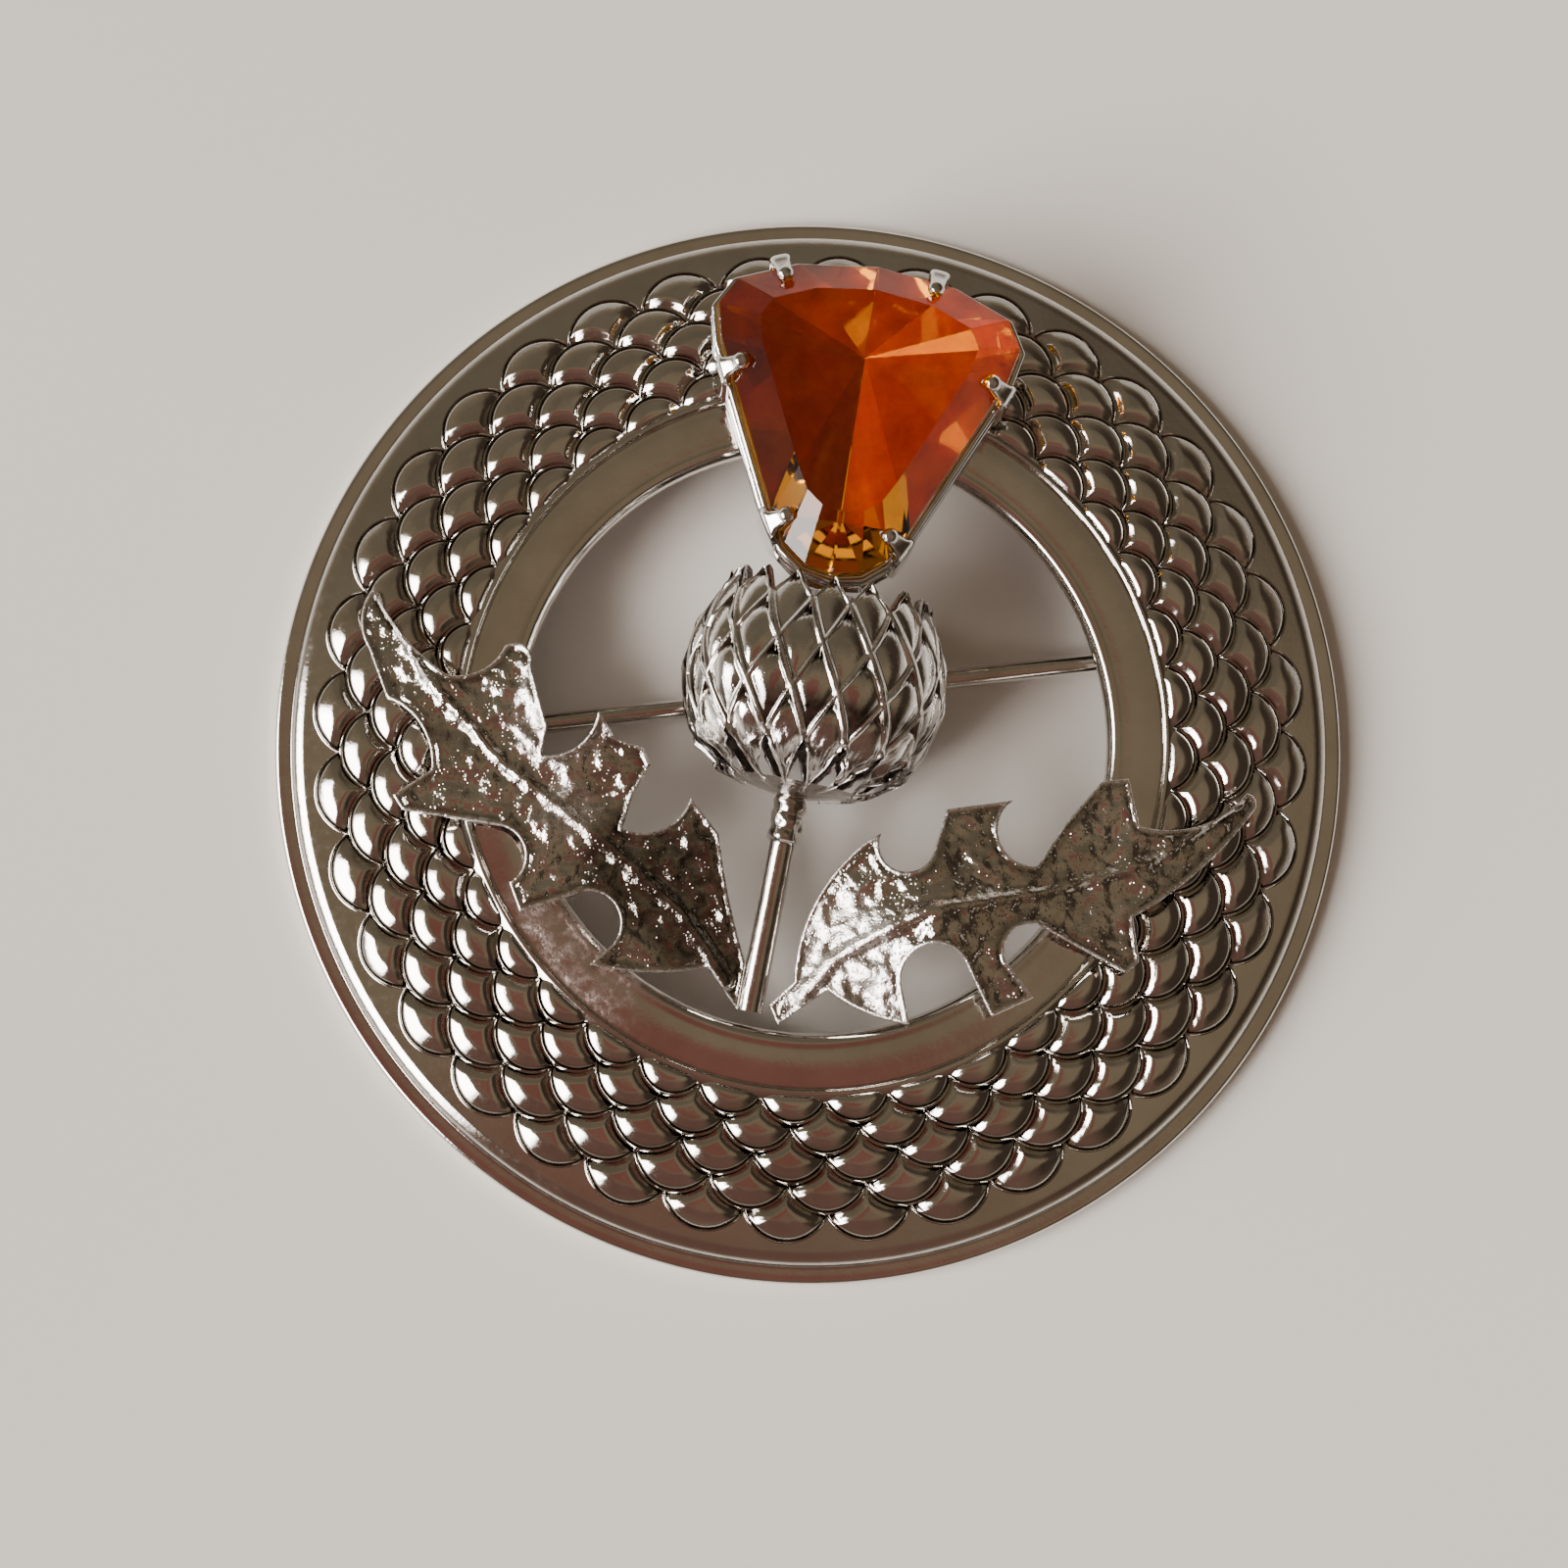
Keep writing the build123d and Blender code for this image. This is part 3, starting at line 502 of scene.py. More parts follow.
# %% Scale sizes
rng = np.random.default_rng(36)
scales_per_row, scale_rows = 36, 5
scale_margin, scale_spread = 0.6, 1.03
scale_stand, scale_sink, scale_crown = 0.30, 0.25, 0.03
row_pitch = (field_outer - scale_margin - field_inner) / scale_rows
half_turn = pi / scales_per_row
rim_steps = 44
border_drop, border_power = 0.29, 1.35
border_tip, border_side = 0.80, 0.62
border_scale_radius = 1.9
inner_dips, dip_width, dip_start = (0.32, 0.31, 0.29, 0.26, 0.28), 0.60, 0.10
dip_under_foot, dip_shade = 0.5, 0.45
flat_shares = (0.13, 0.26, 0.39, 0.52, 0.64, 0.76, 0.88, 1.0)
border_shares = (0.17, 0.34, 0.51, 0.68, 0.84, 1.0)
border_shade_start, border_shade = 0.75, 2
# Each ring beyond a scale's rim: distance out, height, and hollow, its share of painted shade.
foot_rings = ((0.035, -0.375, 1.0), (0.075, -0.31, 0.6), (0.11, -0.255, 0.0), (0.15, -0.31, 0.2),
              (0.21, -0.46, 0.5))
scale_wobble = (0.012, 0.06, 0.012)
hidden_gap, hidden_gap_at_band = -0.22, -0.02


def scale_size(row):
    """Distance from the ring's axis to the middle of a row's discs, and their radius."""
    tip = field_outer - scale_margin - row * row_pitch
    radius = tip * scale_spread * half_turn / (1 + scale_spread * half_turn)
    return tip - radius, radius


print("scale radii", [round(float(scale_size(row)[1]), 2) for row in range(scale_rows)])


# %% One scale
def inner_edge_gap(row, x, y):
    """Distance outward from whatever borders a scale on its inner side: the next row's discs, or the band."""
    if row == scale_rows - 1:
        return np.hypot(x, y) - field_inner
    middle, radius = scale_size(row + 1)
    gaps = [np.hypot(x - middle * cos(half_turn), y - side * middle * sin(half_turn)) for side in (-1, 1)]
    return np.minimum(*gaps) - radius - dip_start


def pillow_rings(radius, border):
    """Rings of a pillow from its middle outward: distance out at each angle, height and hollow."""
    rings = [(0.0, scale_crown, 0.0)]
    rings += [((radius - border) * share, scale_crown * (1 - share ** 2), 0.0) for share in flat_shares]
    for share in border_shares:
        reach = radius - border * (1 - share)
        # Painted shade over the outer part of the border.
        shade_amount = max(0.0, share - border_shade_start) * border_shade
        rings.append((reach, -border_drop * share ** border_power, shade_amount))
    return rings + [(radius + beyond, height, hollow) for beyond, height, hollow in foot_rings]


def scale_pillow(row, wobble):
    """Points of one scale at turn 0 with their hollow values, from its middle to under its foot."""
    middle, radius = scale_size(row)
    slope = asin((middle - dome_centre_r) / dome_radius)
    lean = slope - atan2(scale_stand + scale_sink, 2 * radius) + wobble[0]
    angles = np.linspace(0, 2 * pi, rim_steps, endpoint=False)
    border = border_side + (border_tip - border_side) * np.cos(angles / 2) ** 4
    border = border * (1 + wobble[1]) * radius / border_scale_radius
    lift = (scale_stand - scale_sink) / 2 + wobble[2]
    seat_out = dome_centre_r + dome_radius * sin(slope)
    seat_up = dome_centre_z + dome_radius * cos(slope)
    points, hollows = [], []
    for reach, height, hollow in pillow_rings(radius, border):
        out, side = reach * np.cos(angles), reach * np.sin(angles)
        near_inner = smoothstep(dip_width, 0.0, inner_edge_gap(row, middle + out * cos(lean), side))
        dip = inner_dips[row] * near_inner * (1 if height > -border_drop else dip_under_foot)
        up = lift + height - dip
        points.append(np.column_stack([seat_out + out * cos(lean) + up * sin(lean), side,
                                       seat_up - out * sin(lean) + up * cos(lean)]))
        # Painted shade where the scale dips under the next row in.
        hollows.append(np.maximum(hollow, dip_shade * near_inner ** 2))
    return np.vstack(points), np.concatenate(hollows)


ring_count = 1 + len(flat_shares) + len(border_shares) + len(foot_rings)
pillow_faces = [(0, rim_steps + step, rim_steps + (step + 1) % rim_steps) for step in range(rim_steps)]
pillow_faces += [face for face in grid_faces(ring_count, rim_steps, closed=True) if face[0] >= rim_steps]
print("one scale", len(pillow_faces), "faces")

# %% All scales
scale_points, scale_faces, scale_hollows = [], [], []
for row in range(scale_rows):
    least_gap = hidden_gap_at_band if row == scale_rows - 1 else hidden_gap
    for place in range(scales_per_row):
        points, hollows = scale_pillow(row, rng.normal(0, 1, 3) * scale_wobble)
        middles = np.array([points[list(face)].mean(0) for face in pillow_faces])
        shown = inner_edge_gap(row, middles[:, 0], middles[:, 1]) > least_gap
        turn = 2 * half_turn * (place + 0.5 * (row % 2))
        first = len(scale_points)
        scale_points += (points @ clockwise(-turn)).tolist()
        scale_hollows += hollows.tolist()
        scale_faces += [tuple(first + corner for corner in face)
                        for face, seen in zip(pillow_faces, shown) if seen]
used = sorted({corner for face in scale_faces for corner in face})
renumber = {old: new for new, old in enumerate(used)}
scale_points = [scale_points[old] for old in used]
scale_hollows = [scale_hollows[old] for old in used]
scale_faces = [tuple(renumber[corner] for corner in face) for face in scale_faces]
fish_scales = make_piece("fish_scales", scale_points, scale_faces, "scale metal", scale_hollows, sharp=70)
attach(fish_scales, "brooch")
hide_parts("ring_plate")

# %% [markdown]
# ## The thistle head
# The head is cast with a net of raised ridges that cross in two slanting families. Between the ridges every
# diamond cell holds a low pad, and an arched hollow, darkened with painted shade, shows over the pad, below
# its upper ridges. In the two lowest rows the lower part of each cell is darkened with painted shade too. The
# cells of the top row end in the points of the bracts, and at the bottom the casting is lumpy and was never
# polished. Each cell is a patch of points: its place comes from the net's four corners, and its height over
# the net from one formula.

# %% Head sizes
spray_lean = radians(17.7)
spray_shift = -0.5
spray_height = 4.6
head_radius = 5.85
head_depth_share = 0.92
head_squareness = 2.6
head_bottom, head_middle, head_top = -3.0, 2.1, 6.7
foot_radius, tip_radius = 0.9, 4.2
crossing_ups = (-3.0, -0.83, 1.27, 3.37, 5.47, 6.7)
head_columns, head_rows = 36, len(crossing_ups) - 1
head_back = 2.45


def to_brooch(points):
    """Points drawn along the spray's own axis, turned to where the spray lies on the ring."""
    return np.asarray(points, float) @ clockwise(spray_lean)


def head_surface(row, column):
    """Distance from the head's axis, angle round it and height along it at a place of the net."""
    up = float(np.interp(row, range(head_rows + 1), crossing_ups))
    reach = head_bottom - head_middle if up < head_middle else head_top - head_middle
    share = min(1.0, abs((up - head_middle) / reach))
    end = foot_radius if up < head_middle else tip_radius
    rounded = sqrt(1 - share ** 2) if up < head_middle else 1 - share ** 2
    angle = 2 * pi * column / head_columns
    square = abs(cos(angle)) ** head_squareness + abs(sin(angle)) ** head_squareness
    return (end + (head_radius - end) * rounded) * square ** (-1 / head_squareness), angle, up


def head_place(row, column, out):
    """Point over the net by a distance, in the spray's frame."""
    radius, angle, up = head_surface(min(row, head_rows), column)
    reach = radius + out
    return (spray_shift + reach * cos(angle), up, spray_height + head_depth_share * reach * sin(angle))


print("head", head_columns // 2, "cells round it,", head_rows - 1, "rows")

# %% Net and relief sizes
head_rng = np.random.default_rng(18)
crossing_play = (0.02, 0.05)
cell_steps = np.array([0, 0.03, 0.06, 0.09, 0.12, 0.16, 0.22, 0.30, 0.42, 0.55, 0.68, 0.78, 0.84, 0.88, 0.91,
                       0.94, 0.97, 1.0])
steep_ridge, flat_ridge = 0.07, 0.12
steep_high, flat_high = 0.14, 0.17
arch_bend = 0.25
hollow_start, hollow_end, hollow_depth = 0.77, 0.97, 0.15
pad_fullness, fullness_play, pad_tilt, bulge_height = 0.08, 0.02, 0.06, 0.13
bract_rise = 0.30
cast_unevenness = 0.03
lumpy_below = (1.35, 0.60)
# Each size of lump: height, and noise scale.
lumps = ((0.55, 1.5), (0.36, 3.3))
head_points, head_faces, head_hollows, head_raw = [], [], [], []
net_shift = {}


def net_corner(row, column):
    """Row and column of a crossing, moved a little by unevenness, the same for all the cells it serves."""
    key = (row, column % head_columns)
    if key not in net_shift:
        net_shift[key] = head_rng.normal(0, 1, 2) * crossing_play
    moved = net_shift[key]
    return row + moved[0] * (0 < row < head_rows), column + moved[1]


# %% [markdown]
# A place in a cell is two shares, across it and along it, which run from its lower corner to its upper one.
# Their mean, bent to an arch, says how high up in the cell the place is.

# %% Height in a cell
def arch_share(across, along):
    """How high up in its cell a place is, along arched lines."""
    return (across + along) / 2 + arch_bend * (across - along) ** 2


def ridge_height(across, along):
    """Height of the two ridges that bound a cell, at shares across it and along it."""
    steep = steep_high * max(0.0, 1 - (min(across, 1 - across) / steep_ridge) ** 2)
    return max(steep, flat_high * max(0.0, 1 - (min(along, 1 - along) / flat_ridge) ** 2))


def cell_height(across, along, fullness):
    """Height over the net in a cell: ridges, pad, the hollow over it and a bulge under them all."""
    arch = arch_share(across, along)
    pad = smoothstep(0.06, 0.30, min(across, along)) * smoothstep(0.82, 0.76, arch)
    off_ridge = min(min(across, 1 - across) - steep_ridge, min(along, 1 - along) - flat_ridge)
    hollow = smoothstep(hollow_start, 0.82, arch) * smoothstep(hollow_end, 0.86, arch)
    hollow *= smoothstep(0, 0.04, off_ridge)
    bulge = 16 * across * (1 - across) * along * (1 - along)
    full_pad = pad * (fullness + pad_tilt * (across + along - 1))
    return ridge_height(across, along) - hollow_depth * hollow + full_pad + bulge_height * bulge


# %% Cells of the net
def add_cell_point(row, across, along, corners, size, fullness):
    """Add one point of a cell, with its hollow and raw values."""
    weights = ((1 - across) * (1 - along), across * (1 - along), across * along, (1 - across) * along)
    at_row = sum(weight * corner[0] for weight, corner in zip(weights, corners))
    at_column = sum(weight * corner[1] for weight, corner in zip(weights, corners))
    out = size * cell_height(across, along, fullness)
    if row == head_rows - 1:
        out += bract_rise * smoothstep(0.45, 1.0, across * along)
    out += cast_unevenness * noise.noise(Vector((at_row * 3.1, at_column * 1.3, 3.0)))
    lumpy = smoothstep(*lumpy_below, at_row)
    place = Vector(head_place(at_row, at_column, 0))
    out += lumpy * sum(high * noise.noise(fine * place) for high, fine in lumps)
    head_points.append(head_place(at_row, at_column, out))
    # Painted shade: dark in the arched hollow over each pad, and over the lower part of the cells off the
    # ridges in the two lowest rows; less of it where the casting is lumpy.
    arch = arch_share(across, along)
    dark = smoothstep(0.76, 0.82, arch) * smoothstep(hollow_end, 0.88, arch)
    on_ridge = smoothstep(0.05, 0.13, ridge_height(across, along))
    between = 0.9 * smoothstep(0.56, 0.34, (across + along) / 2) * (row < 3) * (1 - on_ridge)
    head_hollows.append(float(max(dark * (1 - 0.6 * lumpy), between)))
    head_raw.append(float(max(0.9 * lumpy * (1 - 0.8 * between), 0.45 * on_ridge)))


def add_cell(row, column):
    """Add one cell of the net, drawn between its four crossings."""
    corners = (net_corner(row - 1, column), net_corner(row, column + 1),
               net_corner(row + 1, column), net_corner(row, column - 1))
    size = 0.45 + 0.55 * head_surface(row, column)[0] / head_radius
    fullness = pad_fullness + head_rng.normal(0, fullness_play)
    first = len(head_points)
    for across in cell_steps:
        for along in cell_steps:
            add_cell_point(row, across, along, corners, size, fullness)
    for face in grid_faces(len(cell_steps), len(cell_steps)):
        head_faces.append(tuple(first + corner for corner in face))


for row in range(1, head_rows):
    for column in range(head_columns):
        if (row + column) % 2 == 1:
            add_cell(row, column)
print("cells", len(head_points) // len(cell_steps) ** 2)

# %% [markdown]
# The bottom is closed by a short cone down to the collar. The open top is a cup: its wall goes down inside
# from the bracts' edge to a floor, and a peg runs from there to the setting. The back is pressed flat,
# clear of the pin.

# %% Cup
cup_floor = crossing_ups[-2] - 0.4
# Each ring of the cup's wall: distance inward, and drop.
cup_wall = ((0.0, 0.0), (0.16, -0.05), (0.42, 0.12))
floor_inset, floor_shares = 0.9, (1.0, 0.35)
rim_rows = [head_rows - (column + head_rows) % 2 for column in range(head_columns)]


def ring_of_points(make, count):
    """Add a ring of points and give the number of its first one."""
    start = len(head_points)
    for number in range(count):
        head_points.append(make(number))
        # Painted shade: every point of the cup, the foot cone and the peg is fully darkened.
        head_hollows.append(1.0)
        head_raw.append(0.5)
    return start


def bridge(first_ring, second_ring, count):
    """Quads between two rings of points, the second one inside or below the first."""
    for here in range(count):
        after = (here + 1) % count
        head_faces.append((first_ring + here, first_ring + after, second_ring + after, second_ring + here))


def rim_point(column, inward, drop=0.0):
    """Point on the zigzag rim of the cup, or inside it."""
    row = rim_rows[column]
    extra = bract_rise if row == head_rows else 0.0
    x, up, z = head_place(*net_corner(row, column), extra - inward)
    return (x, up - drop, z)


def floor_point(column, share):
    """Point of the cup's floor at a share of the way out to its wall."""
    x, _, z = rim_point(column, floor_inset)
    return (spray_shift + (x - spray_shift) * share, cup_floor, spray_height + (z - spray_height) * share)


cup_rings = [ring_of_points(lambda column: rim_point(column, *step), head_columns) for step in cup_wall]
cup_rings += [ring_of_points(lambda column: floor_point(column, share), head_columns)
              for share in floor_shares]
for outer, inner in zip(cup_rings, cup_rings[1:]):
    bridge(outer, inner, head_columns)
head_faces.append(tuple(cup_rings[-1] + number for number in range(head_columns)))
print("cup", round(head_top - cup_floor, 2), "mm deep")

# %% Foot and peg
cone_row, cone_sink = 0.22, -0.05
peg_sides, peg_radius, peg_height = 24, 1.2, 4.6
peg_low, peg_high = cup_floor - 0.2, 6.45


def peg_point(number, up):
    """Point round the peg, at a height up the spray."""
    angle = 2 * pi * number / peg_sides
    return (spray_shift + peg_radius * cos(angle), up, peg_height + peg_radius * sin(angle))


foot_ring = ring_of_points(lambda column: head_place(cone_row, column, cone_sink), head_columns)
foot_end = ring_of_points(lambda column: head_place(0, column, 0.0), head_columns)
bridge(foot_end, foot_ring, head_columns)
head_faces.append(tuple(foot_end + number for number in range(head_columns)))
peg_foot = ring_of_points(lambda number: peg_point(number, peg_low), peg_sides)
peg_end = ring_of_points(lambda number: peg_point(number, peg_high), peg_sides)
bridge(peg_foot, peg_end, peg_sides)
head_faces.append(tuple(peg_end + number for number in range(peg_sides)))
placed = to_brooch(head_points)
placed[:, 2] = np.maximum(placed[:, 2], head_back)
thistle = make_piece("thistle_head_cast", placed, head_faces, "cast metal", head_hollows, head_raw, sharp=75)
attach(thistle, "brooch")
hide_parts("thistle_head")

# %% [markdown]
# ## The stem
# A plain round wire from the lip of the hole to the head. A knobbly collar sits on it under the head: three
# uneven beads with small lumps, as a casting leaves them.

# %% Stem and collar
stem_low, stem_high, collar_low = -12.9, -3.02, -5.2
stem_radius, stem_foot_height, stem_unevenness = 0.6, 3.3, 0.012
stem_sides = 40
collar_beads, collar_skin, bead_height, collar_lumps = 3, 0.06, 0.11, 0.12


def stem_middle(up):
    """Centre of the stem at a distance up the spray."""
    share = (up + hole_radius) / (head_bottom + hole_radius)
    return Vector((spray_shift, up, stem_foot_height + (spray_height - stem_foot_height) * share))


def stem_reach(up, angle):
    """Radius of the stem or its collar, at a distance up the spray and an angle round it."""
    if up <= collar_low:
        return stem_radius + stem_unevenness * noise.noise(Vector((up * 1.5, angle, 0)))
    share = (up - collar_low) / (stem_high - collar_low)
    beads = abs(sin(pi * (share * collar_beads + 0.15 * sin(angle + 1))))
    lump = noise.noise(Vector((up * 2.6, 1.7 * cos(angle), 1.7 * sin(angle))))
    rise = collar_skin + bead_height * beads + collar_lumps * lump
    return stem_radius + smoothstep(0, 0.08, share) * rise


stem_levels = list(np.linspace(stem_low, collar_low - 0.05, 24))
stem_levels += list(np.linspace(collar_low + 0.05, stem_high, 46))
stem_points = []
for up in stem_levels:
    for angle in np.arange(stem_sides) * 2 * pi / stem_sides:
        reach = stem_reach(up, angle)
        stem_points.append(stem_middle(up) + Vector((reach * cos(angle), 0, reach * sin(angle))))
stem_faces = grid_faces(len(stem_levels), stem_sides, closed=True)
stem_faces.append(tuple(range(stem_sides)))
stem_faces.append(tuple(reversed(range(len(stem_points) - stem_sides, len(stem_points)))))
stem_wire = make_piece("stem_wire", to_brooch(stem_points), stem_faces, "wire metal", sharp=60)
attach(stem_wire, "brooch")
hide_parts("stem")

# %% [markdown]
# ## The leaves
# Each leaf is a hammered sheet with a thin raised rim and a raised midrib. The CAD model already holds its
# exact outline, so that is read from there: the edges that join the underside to the side wall. Points are
# then spread inside it, closer together near the rim, and joined to triangles.

# %% Leaf outline
def leaf_outline(node):
    """Outline of a leaf in millimetres, point by point: the edge of the underside of its CAD mesh."""
    at = [tuple(np.round(np.array(node.matrix_world @ vertex.co) / MM, 3)) for vertex in node.data.vertices]
    uses = {}
    for face in node.data.polygons:
        if (node.matrix_world.to_3x3() @ face.normal).z < -0.5:
            for a, b in face.edge_keys:
                pair = frozenset((at[a], at[b]))
                if len(pair) == 2:
                    uses[pair] = uses.get(pair, 0) + 1
    neighbours = {}
    for a, b in (tuple(pair) for pair, count in uses.items() if count == 1):
        neighbours.setdefault(a, []).append(b)
        neighbours.setdefault(b, []).append(a)
    loops, seen = [], set()
    for start in neighbours:
        loop, here = [], start
        while here is not None and here not in seen:
            seen.add(here)
            loop.append(here)
            here = next((point for point in neighbours[here] if point not in seen), None)
        loops.append(loop)
    return np.array(max(loops, key=len))


def resampled(loop, step):
    """The outline with points at most a step apart, its own corners kept."""
    points = []
    for number, start in enumerate(loop):
        end = loop[(number + 1) % len(loop)]
        parts = max(1, int(np.ceil(np.linalg.norm(end[:2] - start[:2]) / step)))
        points += [start + (end - start) * part / parts for part in range(parts)]
    return np.array(points)


outline_step = 0.14
outlines = {name: resampled(leaf_outline(nodes[name]), outline_step) for name in ("leaf_left", "leaf_right")}
print("outline points", {name: len(loop) for name, loop in outlines.items()})


# %% Distances in plan
def distance_to_line(points, line, closed):
    """Distance in plan from each point to a line of corners, and how far along it the nearest place is."""
    best = np.full(len(points), np.inf)
    place = np.zeros(len(points))
    travelled = 0.0
    for number in range(len(line) if closed else len(line) - 1):
        start, end = line[number][:2], line[(number + 1) % len(line)][:2]
        along = end - start
        length = np.linalg.norm(along)
        if length < 1e-6:
            continue
        share = np.clip((points[:, :2] - start) @ along / length ** 2, 0, 1)
        gap = np.linalg.norm(points[:, :2] - (start + share[:, None] * along), axis=1)
        nearer = gap < best
        best[nearer] = gap[nearer]
        place[nearer] = (travelled + share * length)[nearer]
        travelled += length
    return best, place


def inside(points, loop):
    """Which points lie inside a closed outline, in plan."""
    found = np.zeros(len(points), bool)
    for number in range(len(loop)):
        (x1, y1), (x2, y2) = loop[number][:2], loop[(number + 1) % len(loop)][:2]
        if y1 == y2:
            continue
        crosses = (y1 > points[:, 1]) != (y2 > points[:, 1])
        found ^= crosses & (points[:, 0] < (x2 - x1) * (points[:, 1] - y1) / (y2 - y1) + x1)
    return found


# %% Points of a leaf
leaf_grid, grid_play, grid_inset = 0.17, 0.03, 0.36
rim_insets, inset_play = (0.05, 0.13, 0.22, 0.32), 0.02


def spread_points(loop, seed):
    """Points of a leaf in plan: its outline, rows of points along that, and an uneven grid over the rest."""
    low, high = loop[:, :2].min(0), loop[:, :2].max(0)
    leaf_rng = np.random.default_rng(seed)
    columns, rows = np.arange(low[0], high[0], leaf_grid), np.arange(low[1], high[1], leaf_grid)
    spread = np.array([(x + (row % 2) * leaf_grid / 2, y) for row, y in enumerate(rows) for x in columns])
    spread += leaf_rng.uniform(-grid_play, grid_play, spread.shape)
    gaps, _ = distance_to_line(spread, loop, True)
    spread = spread[inside(spread, loop) & (gaps > grid_inset)]
    along_rim, wanted = [], []
    for inset in rim_insets:
        for number, point in enumerate(loop):
            way = loop[(number + 1) % len(loop)][:2] - loop[number - 1][:2]
            normal = np.array([-way[1], way[0]]) / np.linalg.norm(way)
            along_rim += [point[:2] + normal * inset, point[:2] - normal * inset]
            wanted += [inset, inset]
    along_rim = np.array(along_rim)
    gaps, _ = distance_to_line(along_rim, loop, True)
    along_rim = along_rim[inside(along_rim, loop) & (np.abs(gaps - wanted) < inset_play)]
    return np.vstack([loop[:, :2], along_rim, spread])


def triangulated(flat, border_count):
    """Points and triangles inside an outline, whose corners are the first of the points that are given."""
    border = [(number, (number + 1) % border_count) for number in range(border_count)]
    made = geometry.delaunay_2d_cdt([Vector(point) for point in flat], border, [], 1, 1e-5)
    return np.array([tuple(point) for point in made[0]]), [tuple(face) for face in made[2]]


# %% [markdown]
# A leaf has a frame of its own: along it and across it, both as shares of its length. Its midrib, the lobes
# that curl up, the spots that are rubbed pale and the spots darkened with painted shade are all given in that
# frame.

# %% Leaf frame
spray_turn = clockwise(spray_lean)[:2, :2]


def leaf_axes(turn):
    """Directions along a leaf and across it, in the spray's plan."""
    angle = pi / 2 + radians(turn)
    return np.array([[cos(angle), sin(angle)], [-sin(angle), cos(angle)]])


def leaf_shares(points, turn, side, up, length):
    """Distances along a leaf and across it, as shares of its length, of points in the brooch's plan."""
    local = (points[:, :2] @ spray_turn.T - (side, up)) @ leaf_axes(turn).T
    return local[:, 0] / length, local[:, 1] / length


def from_leaf_shares(shares, turn, side, up, length):
    """Points in the brooch's plan from distances along a leaf and across it, as shares of its length."""
    return (np.array(shares) * length @ leaf_axes(turn) + (side, up)) @ spray_turn


def nearness(along, across, spot_along, spot_across, reach):
    """1 in the middle of a spot and 0 at its edge, and less outside."""
    return 1 - np.hypot(along - spot_along, across - spot_across) / reach


print("spray turned", round(float(np.degrees(spray_lean)), 1), "degrees")

# %% [markdown]
# The sheet's height is taken from the CAD outline's own heights: the plate is an arch along the leaf, so a
# smooth curve through those heights against the distance along the leaf gives the height everywhere. The
# rim, the midrib and the hammer's dents are added to it. The rim is bright, and painted shade darkens the
# sheet inside it and beside the midrib.

# %% Leaf relief
leaf_thickness, top_sink = 0.6, 0.06
rim_middle, rim_half, rim_rise = 0.09, 0.12, 0.10
rib_half, rib_narrowing, rib_height, rib_lowering = 0.46, 0.65, 0.34, 0.35
dish_depth = 0.10
dent_height, swell_height, fine_height = 0.13, 0.20, 0.11
dents_per_mm, swells_per_mm, fine_per_mm = 1.15, 0.75, 2.6
rim_shade, rib_shade, rim_polish = 0.55, 0.5, 0.8
rubbed_amount, spot_shade = 0.55, 0.85


def hammered(points, seed):
    """Height of the hammer's dents, with swellings and a fine unevenness, at each point."""
    heights = []
    for x, y in points:
        nearest = noise.voronoi(Vector((x * dents_per_mm, y * dents_per_mm, seed)))[0][0]
        dent = min(1.0, nearest * 1.5) ** 2
        swell = noise.noise(Vector((x * swells_per_mm, y * swells_per_mm, seed + 3)))
        fine = noise.noise(Vector((x * fine_per_mm, y * fine_per_mm, seed + 5)))
        heights.append(dent_height * dent + swell_height * swell + fine_height * fine)
    return np.array(heights)


def two_sided(points, triangles, top, under):
    """Points and faces of a sheet: its top, its underside, and the wall round its edge."""
    count = len(points)
    a, b, c = points[list(triangles[0])]
    faces_up = (b[0] - a[0]) * (c[1] - a[1]) > (b[1] - a[1]) * (c[0] - a[0])
    top_faces = triangles if faces_up else [face[::-1] for face in triangles]
    faces = top_faces + [tuple(count + corner for corner in reversed(face)) for face in top_faces]
    edges = {(face[number], face[(number + 1) % 3]): None for face in top_faces for number in range(3)}
    faces += [(end, start, count + start, count + end) for start, end in edges if (end, start) not in edges]
    return np.vstack([np.column_stack([points, top]), np.column_stack([points, under])]), faces


